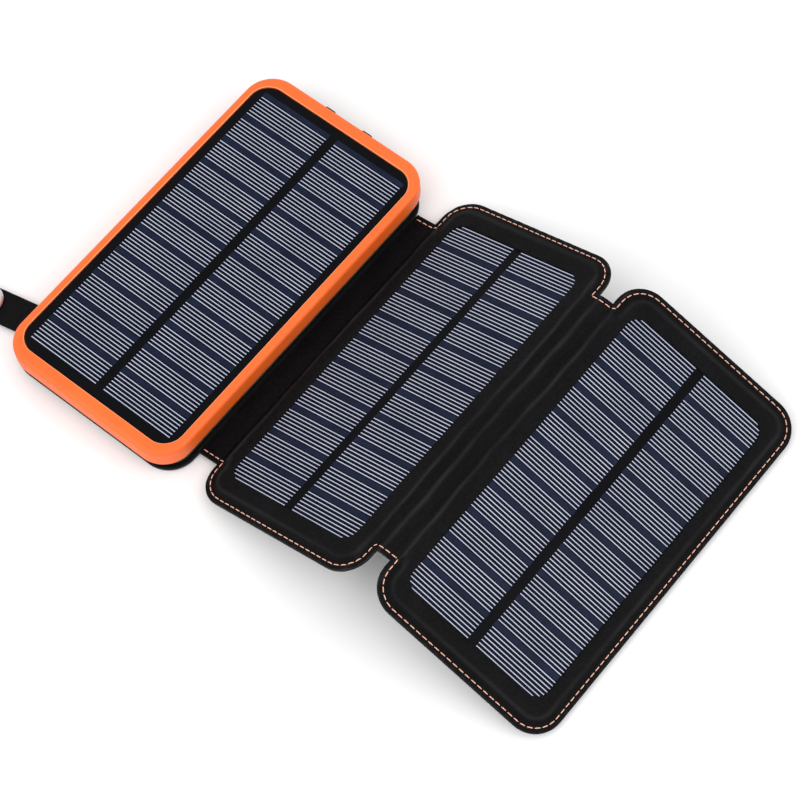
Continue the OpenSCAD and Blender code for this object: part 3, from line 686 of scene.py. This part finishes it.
def make_solar_face(name, body, prefix, centre, z_board, top, cells_top, shift_x, lead_fingers, move):
    """Dark laminate with two columns of cell strips. Each strip has a slate band and seven fingers."""
    plate = Parts()
    plate.add(*rounded_plate(BOARD_W, BOARD_L, 8, z_board, top - 0.06, 0.25, centre))
    board = plate.build(name + "_laminate", [LAMINATE], 40, move)
    cells = Parts()
    step = (PITCH - BAND_W) / FINGERS
    low_y = cells_top - ROWS * PITCH
    base_z = top - 0.08
    for side in (-1, 1):
        x0 = centre[0] + shift_x + side * (DIVIDER + COLUMN_W) / 2 - COLUMN_W / 2
        x1 = x0 + COLUMN_W
        cells.add(*box_shape((x0, low_y, base_z), (x1, cells_top, top - 0.05)), 0)
        for i in range(ROWS):
            band_top = cells_top - i * PITCH - lead_fingers * step
            cells.add(*box_shape((x0, band_top - BAND_W, base_z), (x1, band_top, top - 0.035)), 1)
            for k in range(FINGERS):
                if lead_fingers > k:
                    y = band_top + (k + 0.5) * step
                else:
                    y = band_top - BAND_W - (k - lead_fingers + 0.5) * step
                low = (x0 + 0.25, y - FINGER_W / 2, base_z)
                cells.add(*box_shape(low, (x1 - 0.25, y + FINGER_W / 2, top - 0.02)), 2)
    grid = cells.build(name + "_cells", [CELL, BAND, FINGER], 0, move)
    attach(board, body)
    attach(grid, body)
    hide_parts(prefix + "_solar_board", prefix + "_film")
    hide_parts(prefix + "_cells")


MARGIN_2 = 9.4
MARGIN_3 = 9.6
WINDOW_W = 63.3
WINDOW_L = 134.6
WINDOW_R = 5.5
FILM_W = 0.93
BOARD_LOW_W = -0.25


def make_solar_faces():
    make_solar_face("bank", "bank", "bank", (0.0, 0.0), RECESS_Z + 0.35, FILM_HIGH[2], 68.5, 0.45, 0, None)
    for number, s0, margin in ((2, S_B, MARGIN_2), (3, S_D, MARGIN_3)):
        centre = (s0 + margin + WINDOW_W / 2, LEAF_Y)

        def move(points):
            return place(points[:, 0], points[:, 1], points[:, 2])

        make_solar_face(f"leaf_{number}", f"panel_{number}", f"panel_{number}", centre, BOARD_LOW_W, FILM_W,
                        LEAF_Y + (ROWS * PITCH - BAND_W) / 2, 0.0, FINGERS, move)


# ---------------------------------------------------------------- leather folder

LEAF_R = 12.0
EDGE_HALF = 0.84
EDGE_ROUND = 0.6
SPINE_HALF = 0.6
BACK_HALF = 1.09
PLATEAU = 1.66
SKIN_T = 0.72
STITCH_IN = 2.0
SPAN_2 = (S_B + FOLD_GAP, S_C - FOLD_GAP)
SPAN_3 = (S_D + FOLD_GAP, S_END)
SPAN_BACK = (S_BACK, -FOLD_GAP)
# Ridges (+) and valleys (-) along the folds: place, height and half width
CREASES = (
    (S_B + 2.0, -0.14, 0.7), (S_B + 3.75, 0.12, 0.6), (S_C - 5.4, 0.14, 0.8), (S_C - 2.9, -0.12, 1.0),
    (S_C + 0.1, 0.10, 0.8), (S_D + 0.4, -0.15, 0.8), (S_D + 2.8, 0.16, 0.6),
)
BOARD_RIDGE = 5.3  # from a leaf's edge to the ridge over its stiff board
BOARD_VALLEY = 3.3


def leaf_outline(span, inset=0.0, steps=12):
    """Rounded outline of a leaf or of the backing, in distances along and across the folder."""
    middle, length = (BACK_Y, BACK_L) if span is SPAN_BACK else (LEAF_Y, LEAF_L)
    w, l = span[1] - span[0] - 2 * inset, length - 2 * inset
    flat = corner_arcs(w, l, max(LEAF_R - inset, 0.5), steps)
    return flat + np.array([(span[0] + span[1]) / 2, middle])


def folder_outline(inset=0.0, steps=12):
    """Outline of the whole folder, counter-clockwise, with the four notches at the spines."""
    half = SPINE_L / 2 - inset
    quarter = steps + 1
    spans = (SPAN_BACK, SPAN_2, SPAN_3)
    loops = [leaf_outline(s, inset, steps) for s in spans]
    out = []
    for i, loop in enumerate(loops):
        if i:
            out.append([spans[i][0] + inset, SPINE_Y[i - 1] - half])
        out.extend(loop[2 * quarter : 3 * quarter].tolist())
        out.extend(loop[3 * quarter :].tolist())
        if i < 2:
            out.append([spans[i][1] - inset, SPINE_Y[i] - half])
    for i in (2, 1, 0):
        loop = loops[i]
        if i < 2:
            out.append([spans[i][1] - inset, SPINE_Y[i] + half])
        out.extend(loop[: 2 * quarter].tolist())
        if i:
            out.append([spans[i][0] + inset, SPINE_Y[i - 1] + half])
    return np.array(out)


OUTLINE = folder_outline(0.0, 24)


def edge_distance(s, v):
    """Distance from each point to the folder's outline."""
    a = OUTLINE
    b = np.roll(OUTLINE, -1, axis=0)
    p = np.column_stack([s, v])[:, None, :]
    ab = b - a
    t = np.clip(((p - a) * ab).sum(2) / np.maximum((ab**2).sum(1), 1e-9), 0, 1)
    return np.sqrt((((a + t[..., None] * ab) - p) ** 2).sum(2)).min(1)


def relief(s, v, d):
    """Height of ridges and valleys in the leather, and a painted highlight along the ridges (+) and painted shade
    in the valleys (-).
    """
    height = np.zeros(len(s))
    tone = np.zeros(len(s))
    patchy = 0.75 + 0.25 * np.sin(v * 0.09 + s * 0.05) + 0.12 * np.sin(v * 0.47)
    for at, rise, width in CREASES:
        wander = at + 0.35 * np.sin(v * 0.075 + at) + 0.15 * np.sin(v * 0.31)
        bump = np.exp(-(((s - wander) / width) ** 2))
        height = height + rise * bump
        # Crease ridges get a painted highlight, crease valleys painted shade.
        tone = tone + (0.42 if rise > 0 else -0.45) * bump * patchy
    leaf = np.where(s < S_B, 0, smooth((np.minimum(np.abs(s - S_B), np.abs(s - S_D)) - 1.5) / 4))
    leaf = leaf * np.where((s > S_C - 5) & (s < S_D), 0, 1)
    ridge = np.exp(-(((d - BOARD_RIDGE) / 0.7) ** 2)) * leaf
    valley = np.exp(-(((d - BOARD_VALLEY) / 0.7) ** 2)) * leaf
    # The ridge over the board gets a painted highlight, the valley beside it painted shade.
    return height + 0.12 * ridge - 0.12 * valley, tone + 0.34 * ridge * patchy - 0.4 * valley


def half_thickness(s, v, upper):
    """Height of the leather's face above its middle plane, with its edges, boards and creases."""
    d = edge_distance(s, v)
    edge = EDGE_HALF - 0.55 * (1 - np.sqrt(1 - (1 - np.clip(d / EDGE_ROUND, 0, 1)) ** 2))
    on_back = s < 0
    plateau = np.where(on_back, BACK_HALF, PLATEAU)
    ramp_from = np.where(on_back, 0.6, 3.0)
    rim = edge + (plateau - EDGE_HALF) * smooth((d - ramp_from) / 1.7)
    q = np.select([on_back, s < S_B, s < (S_B + S_C) / 2, s < S_C, s < S_D],
                  [-s, 0, s - S_B, S_C - s, 0], s - S_D)
    spine = SPINE_HALF + (plateau - SPINE_HALF) * smooth((q - np.where(on_back, 0.9, 1.4)) / 1.8)
    half = np.minimum(rim, spine)
    groove = 0.16 * np.exp(-(((d - STITCH_IN) / 0.5) ** 2))
    loose = 0.045 * np.sin(s * 0.43 + 1.7 * np.sin(v * 0.11)) * np.sin(v * 0.19 + s * 0.07)
    in_leaf = smooth((half - 0.9) / 0.5) * np.where(on_back, 0, 1)
    half = half - groove * np.where(on_back, 0.3, 1) + loose * in_leaf
    half = half + relief(s, v, d)[0] * (1.0 if upper else 0.4)
    return half


def window_edge(s, v, centre):
    """Signed distance outside a leaf's window."""
    q = np.abs(np.column_stack([s, v]) - np.array(centre)) - np.array([WINDOW_W, WINDOW_L]) / 2 + WINDOW_R
    return np.hypot(*np.maximum(q, 0).T) + np.minimum(q.max(1), 0) - WINDOW_R


def resample(outline, spacing):
    """Points along a closed outline, with its corners kept and long stretches divided."""
    out = []
    for a, b in zip(outline, np.roll(outline, -1, axis=0)):
        n = max(1, int(np.linalg.norm(b - a) / spacing))
        out.extend(a + (b - a) * k / n for k in range(n))
    return np.array(out)


def triangulate(loops, inner):
    """Triangles between an outer loop, its holes and inner points. The loops come first."""
    points, edges = [], []
    for loop in loops:
        base = len(points)
        points.extend(loop.tolist())
        edges.extend([(base + k, base + (k + 1) % len(loop)) for k in range(len(loop))])
    points.extend(inner.tolist())
    _, _, faces, origin, _, _ = delaunay_2d_cdt([Vector(p) for p in points], edges, [], 1, 1e-5)
    old = {i: o[0] for i, o in enumerate(origin) if o}
    return np.array(points), [[old[k] for k in f] for f in faces if all(k in old for k in f)]


def grid_points(low, high, step_s, step_v):
    s = np.linspace(low[0], high[0], max(2, int((high[0] - low[0]) / step_s) + 1))
    v = np.linspace(low[1], high[1], max(2, int((high[1] - low[1]) / step_v) + 1))
    return np.array([[a, b] for a in s[1:-1] for b in v[1:-1]])


def skin(parts, loops, flat, triangles, low, high):
    """Closed sheet over a flat triangulation, between two heights at each point."""
    bottom = place(flat[:, 0], flat[:, 1], low)
    top = place(flat[:, 0], flat[:, 1], high)
    n = len(flat)
    faces = [[n + k for k in f] for f in triangles] + [f[::-1] for f in triangles]
    base = 0
    for loop in loops:
        m = len(loop)
        for k in range(m):
            a, b = base + k, base + (k + 1) % m
            faces.append([a, b, n + b, n + a])
        base += m
    parts.add(np.concatenate([bottom, top]), faces)


def edge_wear_and_painted_light(flat):
    d = edge_distance(flat[:, 0], flat[:, 1])
    # Edge wear in the outer 0.4 mm, plus the relief's painted highlight and shade.
    return 0.45 * (1 - smooth(d / 0.4)) + relief(flat[:, 0], flat[:, 1], d)[1]


def leather_object(name, parts, wear_and_painted_light, bodies, replaced):
    obj = make_mesh(name, parts.points, parts.faces, [LEATHER], parts.indices, 50, np.concatenate(wear_and_painted_light))
    if isinstance(bodies, str):
        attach(obj, bodies)
    else:
        a, b, start, end = bodies
        place([start], [0], [0])[0] * MM
        place([end], [0], [0])[0] * MM
        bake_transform(obj)
    if replaced:
        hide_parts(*replaced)
    return obj


RING_INSETS = (0.12, 0.3, 0.6, 1.1, 1.6, 2.0, 2.4, 2.9, 3.4, 4.0, 4.6, 5.2, 5.8, 6.5)


def make_leaf(number, span, margin):
    centre = (span[0] - FOLD_GAP + margin + WINDOW_W / 2, LEAF_Y)
    outer = resample(leaf_outline(span), 4.0)
    insets = [resample(leaf_outline(span, d), 2.5) for d in RING_INSETS]
    hole = corner_arcs(WINDOW_W, WINDOW_L, WINDOW_R, 8) + np.array(centre)
    hole = resample(hole, 4.0)
    around = []
    for d in (0.12, 0.3, 0.6, 1.0):
        loop = corner_arcs(WINDOW_W + 2 * d, WINDOW_L + 2 * d, WINDOW_R + d, 8) + np.array(centre)
        around.append(resample(loop, 3.0))
    low, high = outer.min(0), outer.max(0)
    rest = grid_points(low + 6.5, high - 6.5, 2.4, 4.0)
    clear = window_edge(rest[:, 0], rest[:, 1], centre) > 1.6
    parts, wear_and_painted_light = Parts(), []
    # Front skin, with the window
    loops = [outer, hole[::-1]]
    flat, triangles = triangulate(loops, np.concatenate(insets + around + [rest[clear]]))
    middle = np.array([flat[f].mean(0) for f in triangles])
    outside = window_edge(middle[:, 0], middle[:, 1], centre) > 0
    triangles = [f for f, keep in zip(triangles, outside) if keep]
    high = half_thickness(flat[:, 0], flat[:, 1], True)
    edge = window_edge(flat[:, 0], flat[:, 1], centre)
    high = high - 0.5 * (1 - np.sqrt(1 - (1 - np.clip(edge / 0.6, 0, 1)) ** 2))
    low = np.maximum(np.minimum(high - SKIN_T, FILM_W + 0.01), 0.01)
    skin(parts, loops, flat, triangles, low, high)
    wear_and_painted_light += [edge_wear_and_painted_light(flat)] * 2
    # Back skin
    loops = [outer]
    flat, triangles = triangulate(loops, np.concatenate(insets + [rest]))
    low = -half_thickness(flat[:, 0], flat[:, 1], False)
    skin(parts, loops, flat, triangles, low, np.minimum(low + SKIN_T, -0.01))
    wear_and_painted_light += [edge_wear_and_painted_light(flat)] * 2
    leather_object(f"leaf_{number}_leather", parts, wear_and_painted_light, f"panel_{number}",
                   [f"panel_{number}_outer_skin", f"panel_{number}_frame_skin"])


def make_backing():
    """Tray of leather under the bank: a skin with a raised rim around the stiff board."""
    outer = resample(leaf_outline(SPAN_BACK), 4.0)
    rim = 2.0
    depths = (0.12, 0.3, 0.6, 1.1, 1.6, rim, rim + 0.04, 2.5, 3.4)
    insets = [resample(leaf_outline(SPAN_BACK, d), 2.5) for d in depths]
    low, high = outer.min(0), outer.max(0)
    rest = grid_points(low + 3.4, high - 3.4, 6.0, 6.0)
    flat, triangles = triangulate([outer], np.concatenate(insets + [rest]))
    half = half_thickness(flat[:, 0], flat[:, 1], False)
    middle = (SPAN_BACK[0] + SPAN_BACK[1]) / 2
    q = np.abs(flat - np.array([middle, BACK_Y])) - np.array([SPAN_BACK[1] - middle, BACK_L / 2]) + LEAF_R
    inside = LEAF_R - np.hypot(*np.maximum(q, 0).T) - np.minimum(q.max(1), 0)
    parts = Parts()
    skin(parts, [outer], flat, triangles, -half, np.where(inside > rim + 0.02, -0.42, half))
    leather_object("backing_leather", parts, [edge_wear_and_painted_light(flat)] * 2, "bank", ["back_skin", "strap_root"])


def make_spine(name, start, end, middle, bodies, replaced):
    """Half of a spine, made of an outer and an inner skin."""
    half = SPINE_L / 2
    near, far = middle - half, middle + half
    corners = np.array([[start, near], [end, near], [end, far], [start, far]])
    outer = resample(corners, 0.6)
    edges = [middle + side * (half - d) for side in (-1, 1) for d in RING_INSETS]
    across = np.linspace(start, end, max(6, int((end - start) / 0.28)))[1:-1]
    along = np.concatenate([edges, np.arange(near + 5.5, far - 5.4, 1.6)])
    flat, triangles = triangulate([outer], np.array([[a, b] for a in across for b in along]))
    parts = Parts()
    high = half_thickness(flat[:, 0], flat[:, 1], True)
    skin(parts, [outer], flat, triangles, np.full(len(flat), 0.13), np.maximum(high, 0.2))
    low = -half_thickness(flat[:, 0], flat[:, 1], False)
    skin(parts, [outer], flat, triangles, np.minimum(low, -0.2), np.full(len(flat), -0.13))
    leather_object(name, parts, [edge_wear_and_painted_light(flat)] * 4, bodies, replaced)


MID_1 = S_B / 2
MID_2 = (S_C + S_D) / 2
BLEND_REACH = 2.6
# The two bodies that meet at each fold, and where along the leather the bend starts and ends
FOLD_1_NEAR = ("bank", "hinge_1", -FOLD_GAP, BLEND_REACH)
FOLD_1_FAR = ("hinge_1", "panel_2", S_B - BLEND_REACH, S_B + FOLD_GAP)
FOLD_2_NEAR = ("panel_2", "hinge_2", S_C - FOLD_GAP, MID_2)
FOLD_2_FAR = ("hinge_2", "panel_3", MID_2, S_D + FOLD_GAP)


def make_folder():
    make_backing()
    make_leaf(2, SPAN_2, MARGIN_2)
    make_leaf(3, SPAN_3, MARGIN_3)
    make_spine("spine_1_near", SPAN_BACK[1], MID_1, SPINE_Y[0], FOLD_1_NEAR,
               ["hinge_1_outer_skin", "hinge_1_inner_skin"])
    make_spine("spine_1_far", MID_1, SPAN_2[0], SPINE_Y[0], FOLD_1_FAR, [])
    make_spine("spine_2_near", SPAN_2[1], MID_2, SPINE_Y[1], FOLD_2_NEAR,
               ["hinge_2_outer_skin", "hinge_2_inner_skin"])
    make_spine("spine_2_far", MID_2, SPAN_3[0], SPINE_Y[1], FOLD_2_FAR, [])


# ---------------------------------------------------------------- stitching

STITCH_PITCH = 2.85
STITCH_LEN = 2.4
STITCH_R = 0.19
ZONES = (
    ("bank", SPAN_BACK[1], "bank"),
    ("spine_1_near", MID_1, FOLD_1_NEAR),
    ("spine_1_far", SPAN_2[0], FOLD_1_FAR),
    ("leaf_2", SPAN_2[1], "panel_2"),
    ("spine_2_near", MID_2, FOLD_2_NEAR),
    ("spine_2_far", SPAN_3[0], FOLD_2_FAR),
    ("leaf_3", S_END + 1, "panel_3"),
)


def stitch_path():
    """Points every stitch apart along the folder's outline, with the direction there."""
    line = resample(folder_outline(STITCH_IN, 16), 1.0)
    closed = np.vstack([line, line[:1]])
    length = np.concatenate([[0], np.cumsum(np.linalg.norm(np.diff(closed, axis=0), axis=1))])
    count = int(round(length[-1] / STITCH_PITCH))
    at = (np.arange(count) + 0.5) * length[-1] / count

    def point(where):
        where = np.mod(where, length[-1])
        return np.column_stack([np.interp(where, length, closed[:, k]) for k in (0, 1)])

    return point(at - STITCH_LEN / 2), point(at + STITCH_LEN / 2)


# How far along a stitch each ring lies, its share of the thread's radius, and its lift
STITCH_RINGS = (
    (0, 0.35, -0.28), (0.1, 0.8, -0.08), (0.3, 1, 0.05),
    (0.7, 1, 0.05), (0.9, 0.8, -0.08), (1, 0.35, -0.28),
)


def stitch(start, end, side, sink):
    """One stitch: a thin thread that dives into the leather at both ends."""
    rings = []
    direction = (end - start) / max(np.linalg.norm(end - start), 1e-6)
    across = np.array([-direction[1], direction[0]])
    for t, r, lift in STITCH_RINGS:
        middle = start + (end - start) * t
        angles = np.arange(6) * math.pi / 3
        flat = middle + np.outer(np.cos(angles) * STITCH_R * r, across)
        base = half_thickness(np.array([middle[0]]), np.array([middle[1]]), side > 0)[0]
        w = side * (base + 0.08 - sink + lift + np.sin(angles) * STITCH_R * r)
        rings.append(place(flat[:, 0], flat[:, 1], w))
    return rings


def make_stitches():
    starts, ends = stitch_path()
    groups = {name: Parts() for name, _, _ in ZONES}
    for start, end in zip(starts, ends):
        s = (start[0] + end[0]) / 2
        name = next(n for n, limit, _ in ZONES if s < limit)
        for side in (-1, 1):
            if side > 0 and name == "bank":
                continue
            rings = stitch(start, end, side, 0.34 if name == "bank" else 0.0)
            points, faces = loft(rings if side < 0 else [r[::-1] for r in rings])
            groups[name].add(points, faces)
    for name, _, bodies in ZONES:
        if not groups[name].points:
            continue
        obj = groups[name].build("stitches_" + name, [THREAD], 60)
        if isinstance(bodies, str):
            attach(obj, bodies)
        else:
            a, b, start, end = bodies
            place([start], [0], [0])[0] * MM
            place([end], [0], [0])[0] * MM
            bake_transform(obj)


# ---------------------------------------------------------------- strap and snap

STRAP_1, STRAP_2 = fold_point("strap_fold_1"), fold_point("strap_fold_2")
CAP_LOW, CAP_HIGH = node_box("snap_cap")
STRAP_W = 14.0
STRAP_T = 0.96
STRAP_BEND = 2.5
CAP_X = (CAP_LOW[0] + CAP_HIGH[0]) / 2
CAP_Y = (CAP_LOW[1] + CAP_HIGH[1]) / 2
STRAP_Y = JOINTS["strap_fold_1"]["pos_m"][1] / MM


def strap_place(s, e, w):
    """Points on the strap: s away from its first fold, e across it, w above its middle."""
    length = float(np.linalg.norm(STRAP_2 - STRAP_1))
    rise = (STRAP_2[1] - STRAP_1[1]) / length
    run = math.sqrt(1 - rise * rise)
    s = np.asarray(s, float)
    x = STRAP_1[0] - np.where(s < 0, s, np.minimum(s, length) * run + np.maximum(s - length, 0))
    z = STRAP_1[1] + rise * STRAP_BEND * np.log1p(np.exp(np.clip(s / STRAP_BEND, -30, 30)))
    z = z - rise * STRAP_BEND * np.log1p(np.exp(np.clip((s - length) / STRAP_BEND, -30, 30)))
    slant = (CAP_Y - STRAP_Y) / (CAP_X - STRAP_1[0])
    y = STRAP_Y + (x - STRAP_1[0]) * slant + e
    return np.column_stack([x, y, z + w])


def strap_piece(name, s0, s1, replaced, tip):
    """Length of the strap with rounded long edges and, at its tip, a round end."""
    parts = Parts()
    n_s = max(8, int((s1 - s0) / 0.8))
    profile = []
    for side, order in ((1, range(9)), (-1, range(8, -1, -1))):
        for k in order:
            e = -1 + k / 4
            edge = 1 - max(abs(e) - 0.9, 0) / 0.1
            profile.append((e, side * STRAP_T / 2 * (0.35 + 0.65 * math.sqrt(max(1 - (1 - edge) ** 2, 0)))))
    rings = []
    cap_s = s1 - STRAP_W / 2 if tip else None
    stops = np.linspace(s0, s1, n_s)
    if tip:
        stops = np.concatenate([np.linspace(s0, cap_s, 10)[:-1],
                                cap_s + STRAP_W / 2 * np.sin(np.linspace(0, math.pi / 2, 14)) * 0.998])
    for s in stops:
        half = STRAP_W / 2
        if tip and s > cap_s:
            half = math.sqrt(max(half**2 - (s - cap_s) ** 2, 0.02))
        e = np.array([p[0] for p in profile]) * half
        ripple = 0.10 * math.sin(s * 0.9) * np.cos(e * 0.35)
        w = np.array([p[1] for p in profile]) * 0.92 + ripple * 0.3
        rings.append(strap_place(np.full(len(e), s), e, w)[::-1])
    points, faces = loft(rings)
    parts.add(points, faces)
    obj = parts.build(name, [LEATHER], 50)
    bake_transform(obj)
    if replaced:
        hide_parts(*replaced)


def make_strap():
    length = float(np.linalg.norm(STRAP_2 - STRAP_1))
    reach = length + STRAP_2[0] - CAP_X + STRAP_W / 2
    strap_piece("strap_near", -2.4, length / 2, ["strap_base"], False)
    strap_piece("strap_far", length / 2, reach,
                ["strap_tip"], True)
    cap = Parts()
    dome = [[0, 0], [5.4, 0], [6.2, 0.15], [6.5, 0.45], [6.55, 0.75], [6.3, 1.0]]
    dome += [[r, 1.05 + 1.6 * math.sqrt(max(1 - (r / 6.3) ** 2, 0))] for r in (5.9, 5.3, 4.4, 3.3, 2.2, 1.1)]
    dome += [[0, CAP_HIGH[2] - STRAP_2[1] - STRAP_T / 2 - 0.05]]
    cap.add(*lathe(dome, (CAP_X, CAP_Y, STRAP_2[1] + STRAP_T / 2 + 0.02), 64))
    snap = cap.build("snap_dome", [STEEL], 50)
    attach(snap, "strap_outer")
    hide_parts("snap_cap")


# ---------------------------------------------------------------- CAD pieces that stay

BEVELLED = {"steel": 0.12, "white_plastic": 0.1, "chip_plastic": 0.12, "battery_pouch": 1.0,
            "black_plastic": 0.15, "light_window": 0.15, "foam": 0.3}


def slot_of():
    """Node name to the material slot that the record gives it."""
    return {row["node"]: row["material_slot"] for row in frame["record"]["subparts"]}


def finish_cad_nodes():
    slots = slot_of()
    for name, obj in frame["nodes"].items():
        if obj.hide_render:
            continue
        slot = slots[name]
        obj.data.materials.clear()
        obj.data.materials.append(SLOTS[slot])
        obj.data.polygons.foreach_set("use_smooth", [True] * len(obj.data.polygons))
        obj.data.set_sharp_from_angle(angle=math.radians(30))
        width = BEVELLED.get(slot)
        if width:
            bevel = obj.modifiers.new("edge", "BEVEL")
            bevel.width = width * MM
            bevel.segments = 2
            bevel.limit_method = "ANGLE"
            bevel.angle_limit = math.radians(50)


# ---------------------------------------------------------------- room, lights and camera


def make_stage():
    floor = make_mesh("floor", [[-3000, -3000, 0], [3000, -3000, 0], [3000, 3000, 0], [-3000, 3000, 0]],
                      [[0, 1, 2, 3]], [], angle=0)
    n = Nodes("floor")
    color = n.ramp(n.noise(6.0, 2.0), [(0.3, (0.90, 0.90, 0.90, 1)), (0.7, (0.94, 0.94, 0.94, 1))])
    floor.data.materials.append(n.finish(color, 0.9, None, Specular_IOR_Level=0.1))
    floor.location.z = -0.0002
    world = bpy.data.worlds.new("studio")
    world.use_nodes = True
    world.node_tree.nodes["Background"].inputs["Color"].default_value = (1, 1, 1, 1)
    world.node_tree.nodes["Background"].inputs["Strength"].default_value = 0.95
    bpy.context.scene.world = world
    for name, place_mm, size, power in (
        ("key", (-350, -1000, 1100), 1.6, 7.5),
        ("fill", (1100, 100, 900), 1.4, 6.0),
    ):
        light = bpy.data.lights.new(name, "AREA")
        light.shape = "DISK"
        light.size = size
        light.energy = power
        lamp = bpy.data.objects.new(name, light)
        lamp.location = np.array(place_mm) * MM
        target = Vector((0.08, 0, 0.01))
        lamp.rotation_euler = (target - lamp.location).to_track_quat("-Z", "Y").to_euler()
        bpy.context.scene.collection.objects.link(lamp)


def make_camera():
    data = bpy.data.cameras.new("camera")
    data.sensor_width = 36
    data.lens = 119.49
    data.clip_start, data.clip_end = 0.05, 20
    camera = bpy.data.objects.new("camera", data)
    camera.location = (0.4139, -0.3124, 0.8831)
    camera.rotation_euler = [math.radians(a) for a in (26.940, 3.555, 39.227)]
    bpy.context.scene.collection.objects.link(camera)
    bpy.context.scene.camera = camera


def build():
    make_case_frame()
    make_plugs()
    make_button()
    make_solar_faces()
    make_folder()
    make_stitches()
    make_strap()
    finish_cad_nodes()
    make_stage()
    make_camera()
    bpy.context.scene.view_settings.view_transform = "Standard"
    bpy.context.view_layer.update()


build()
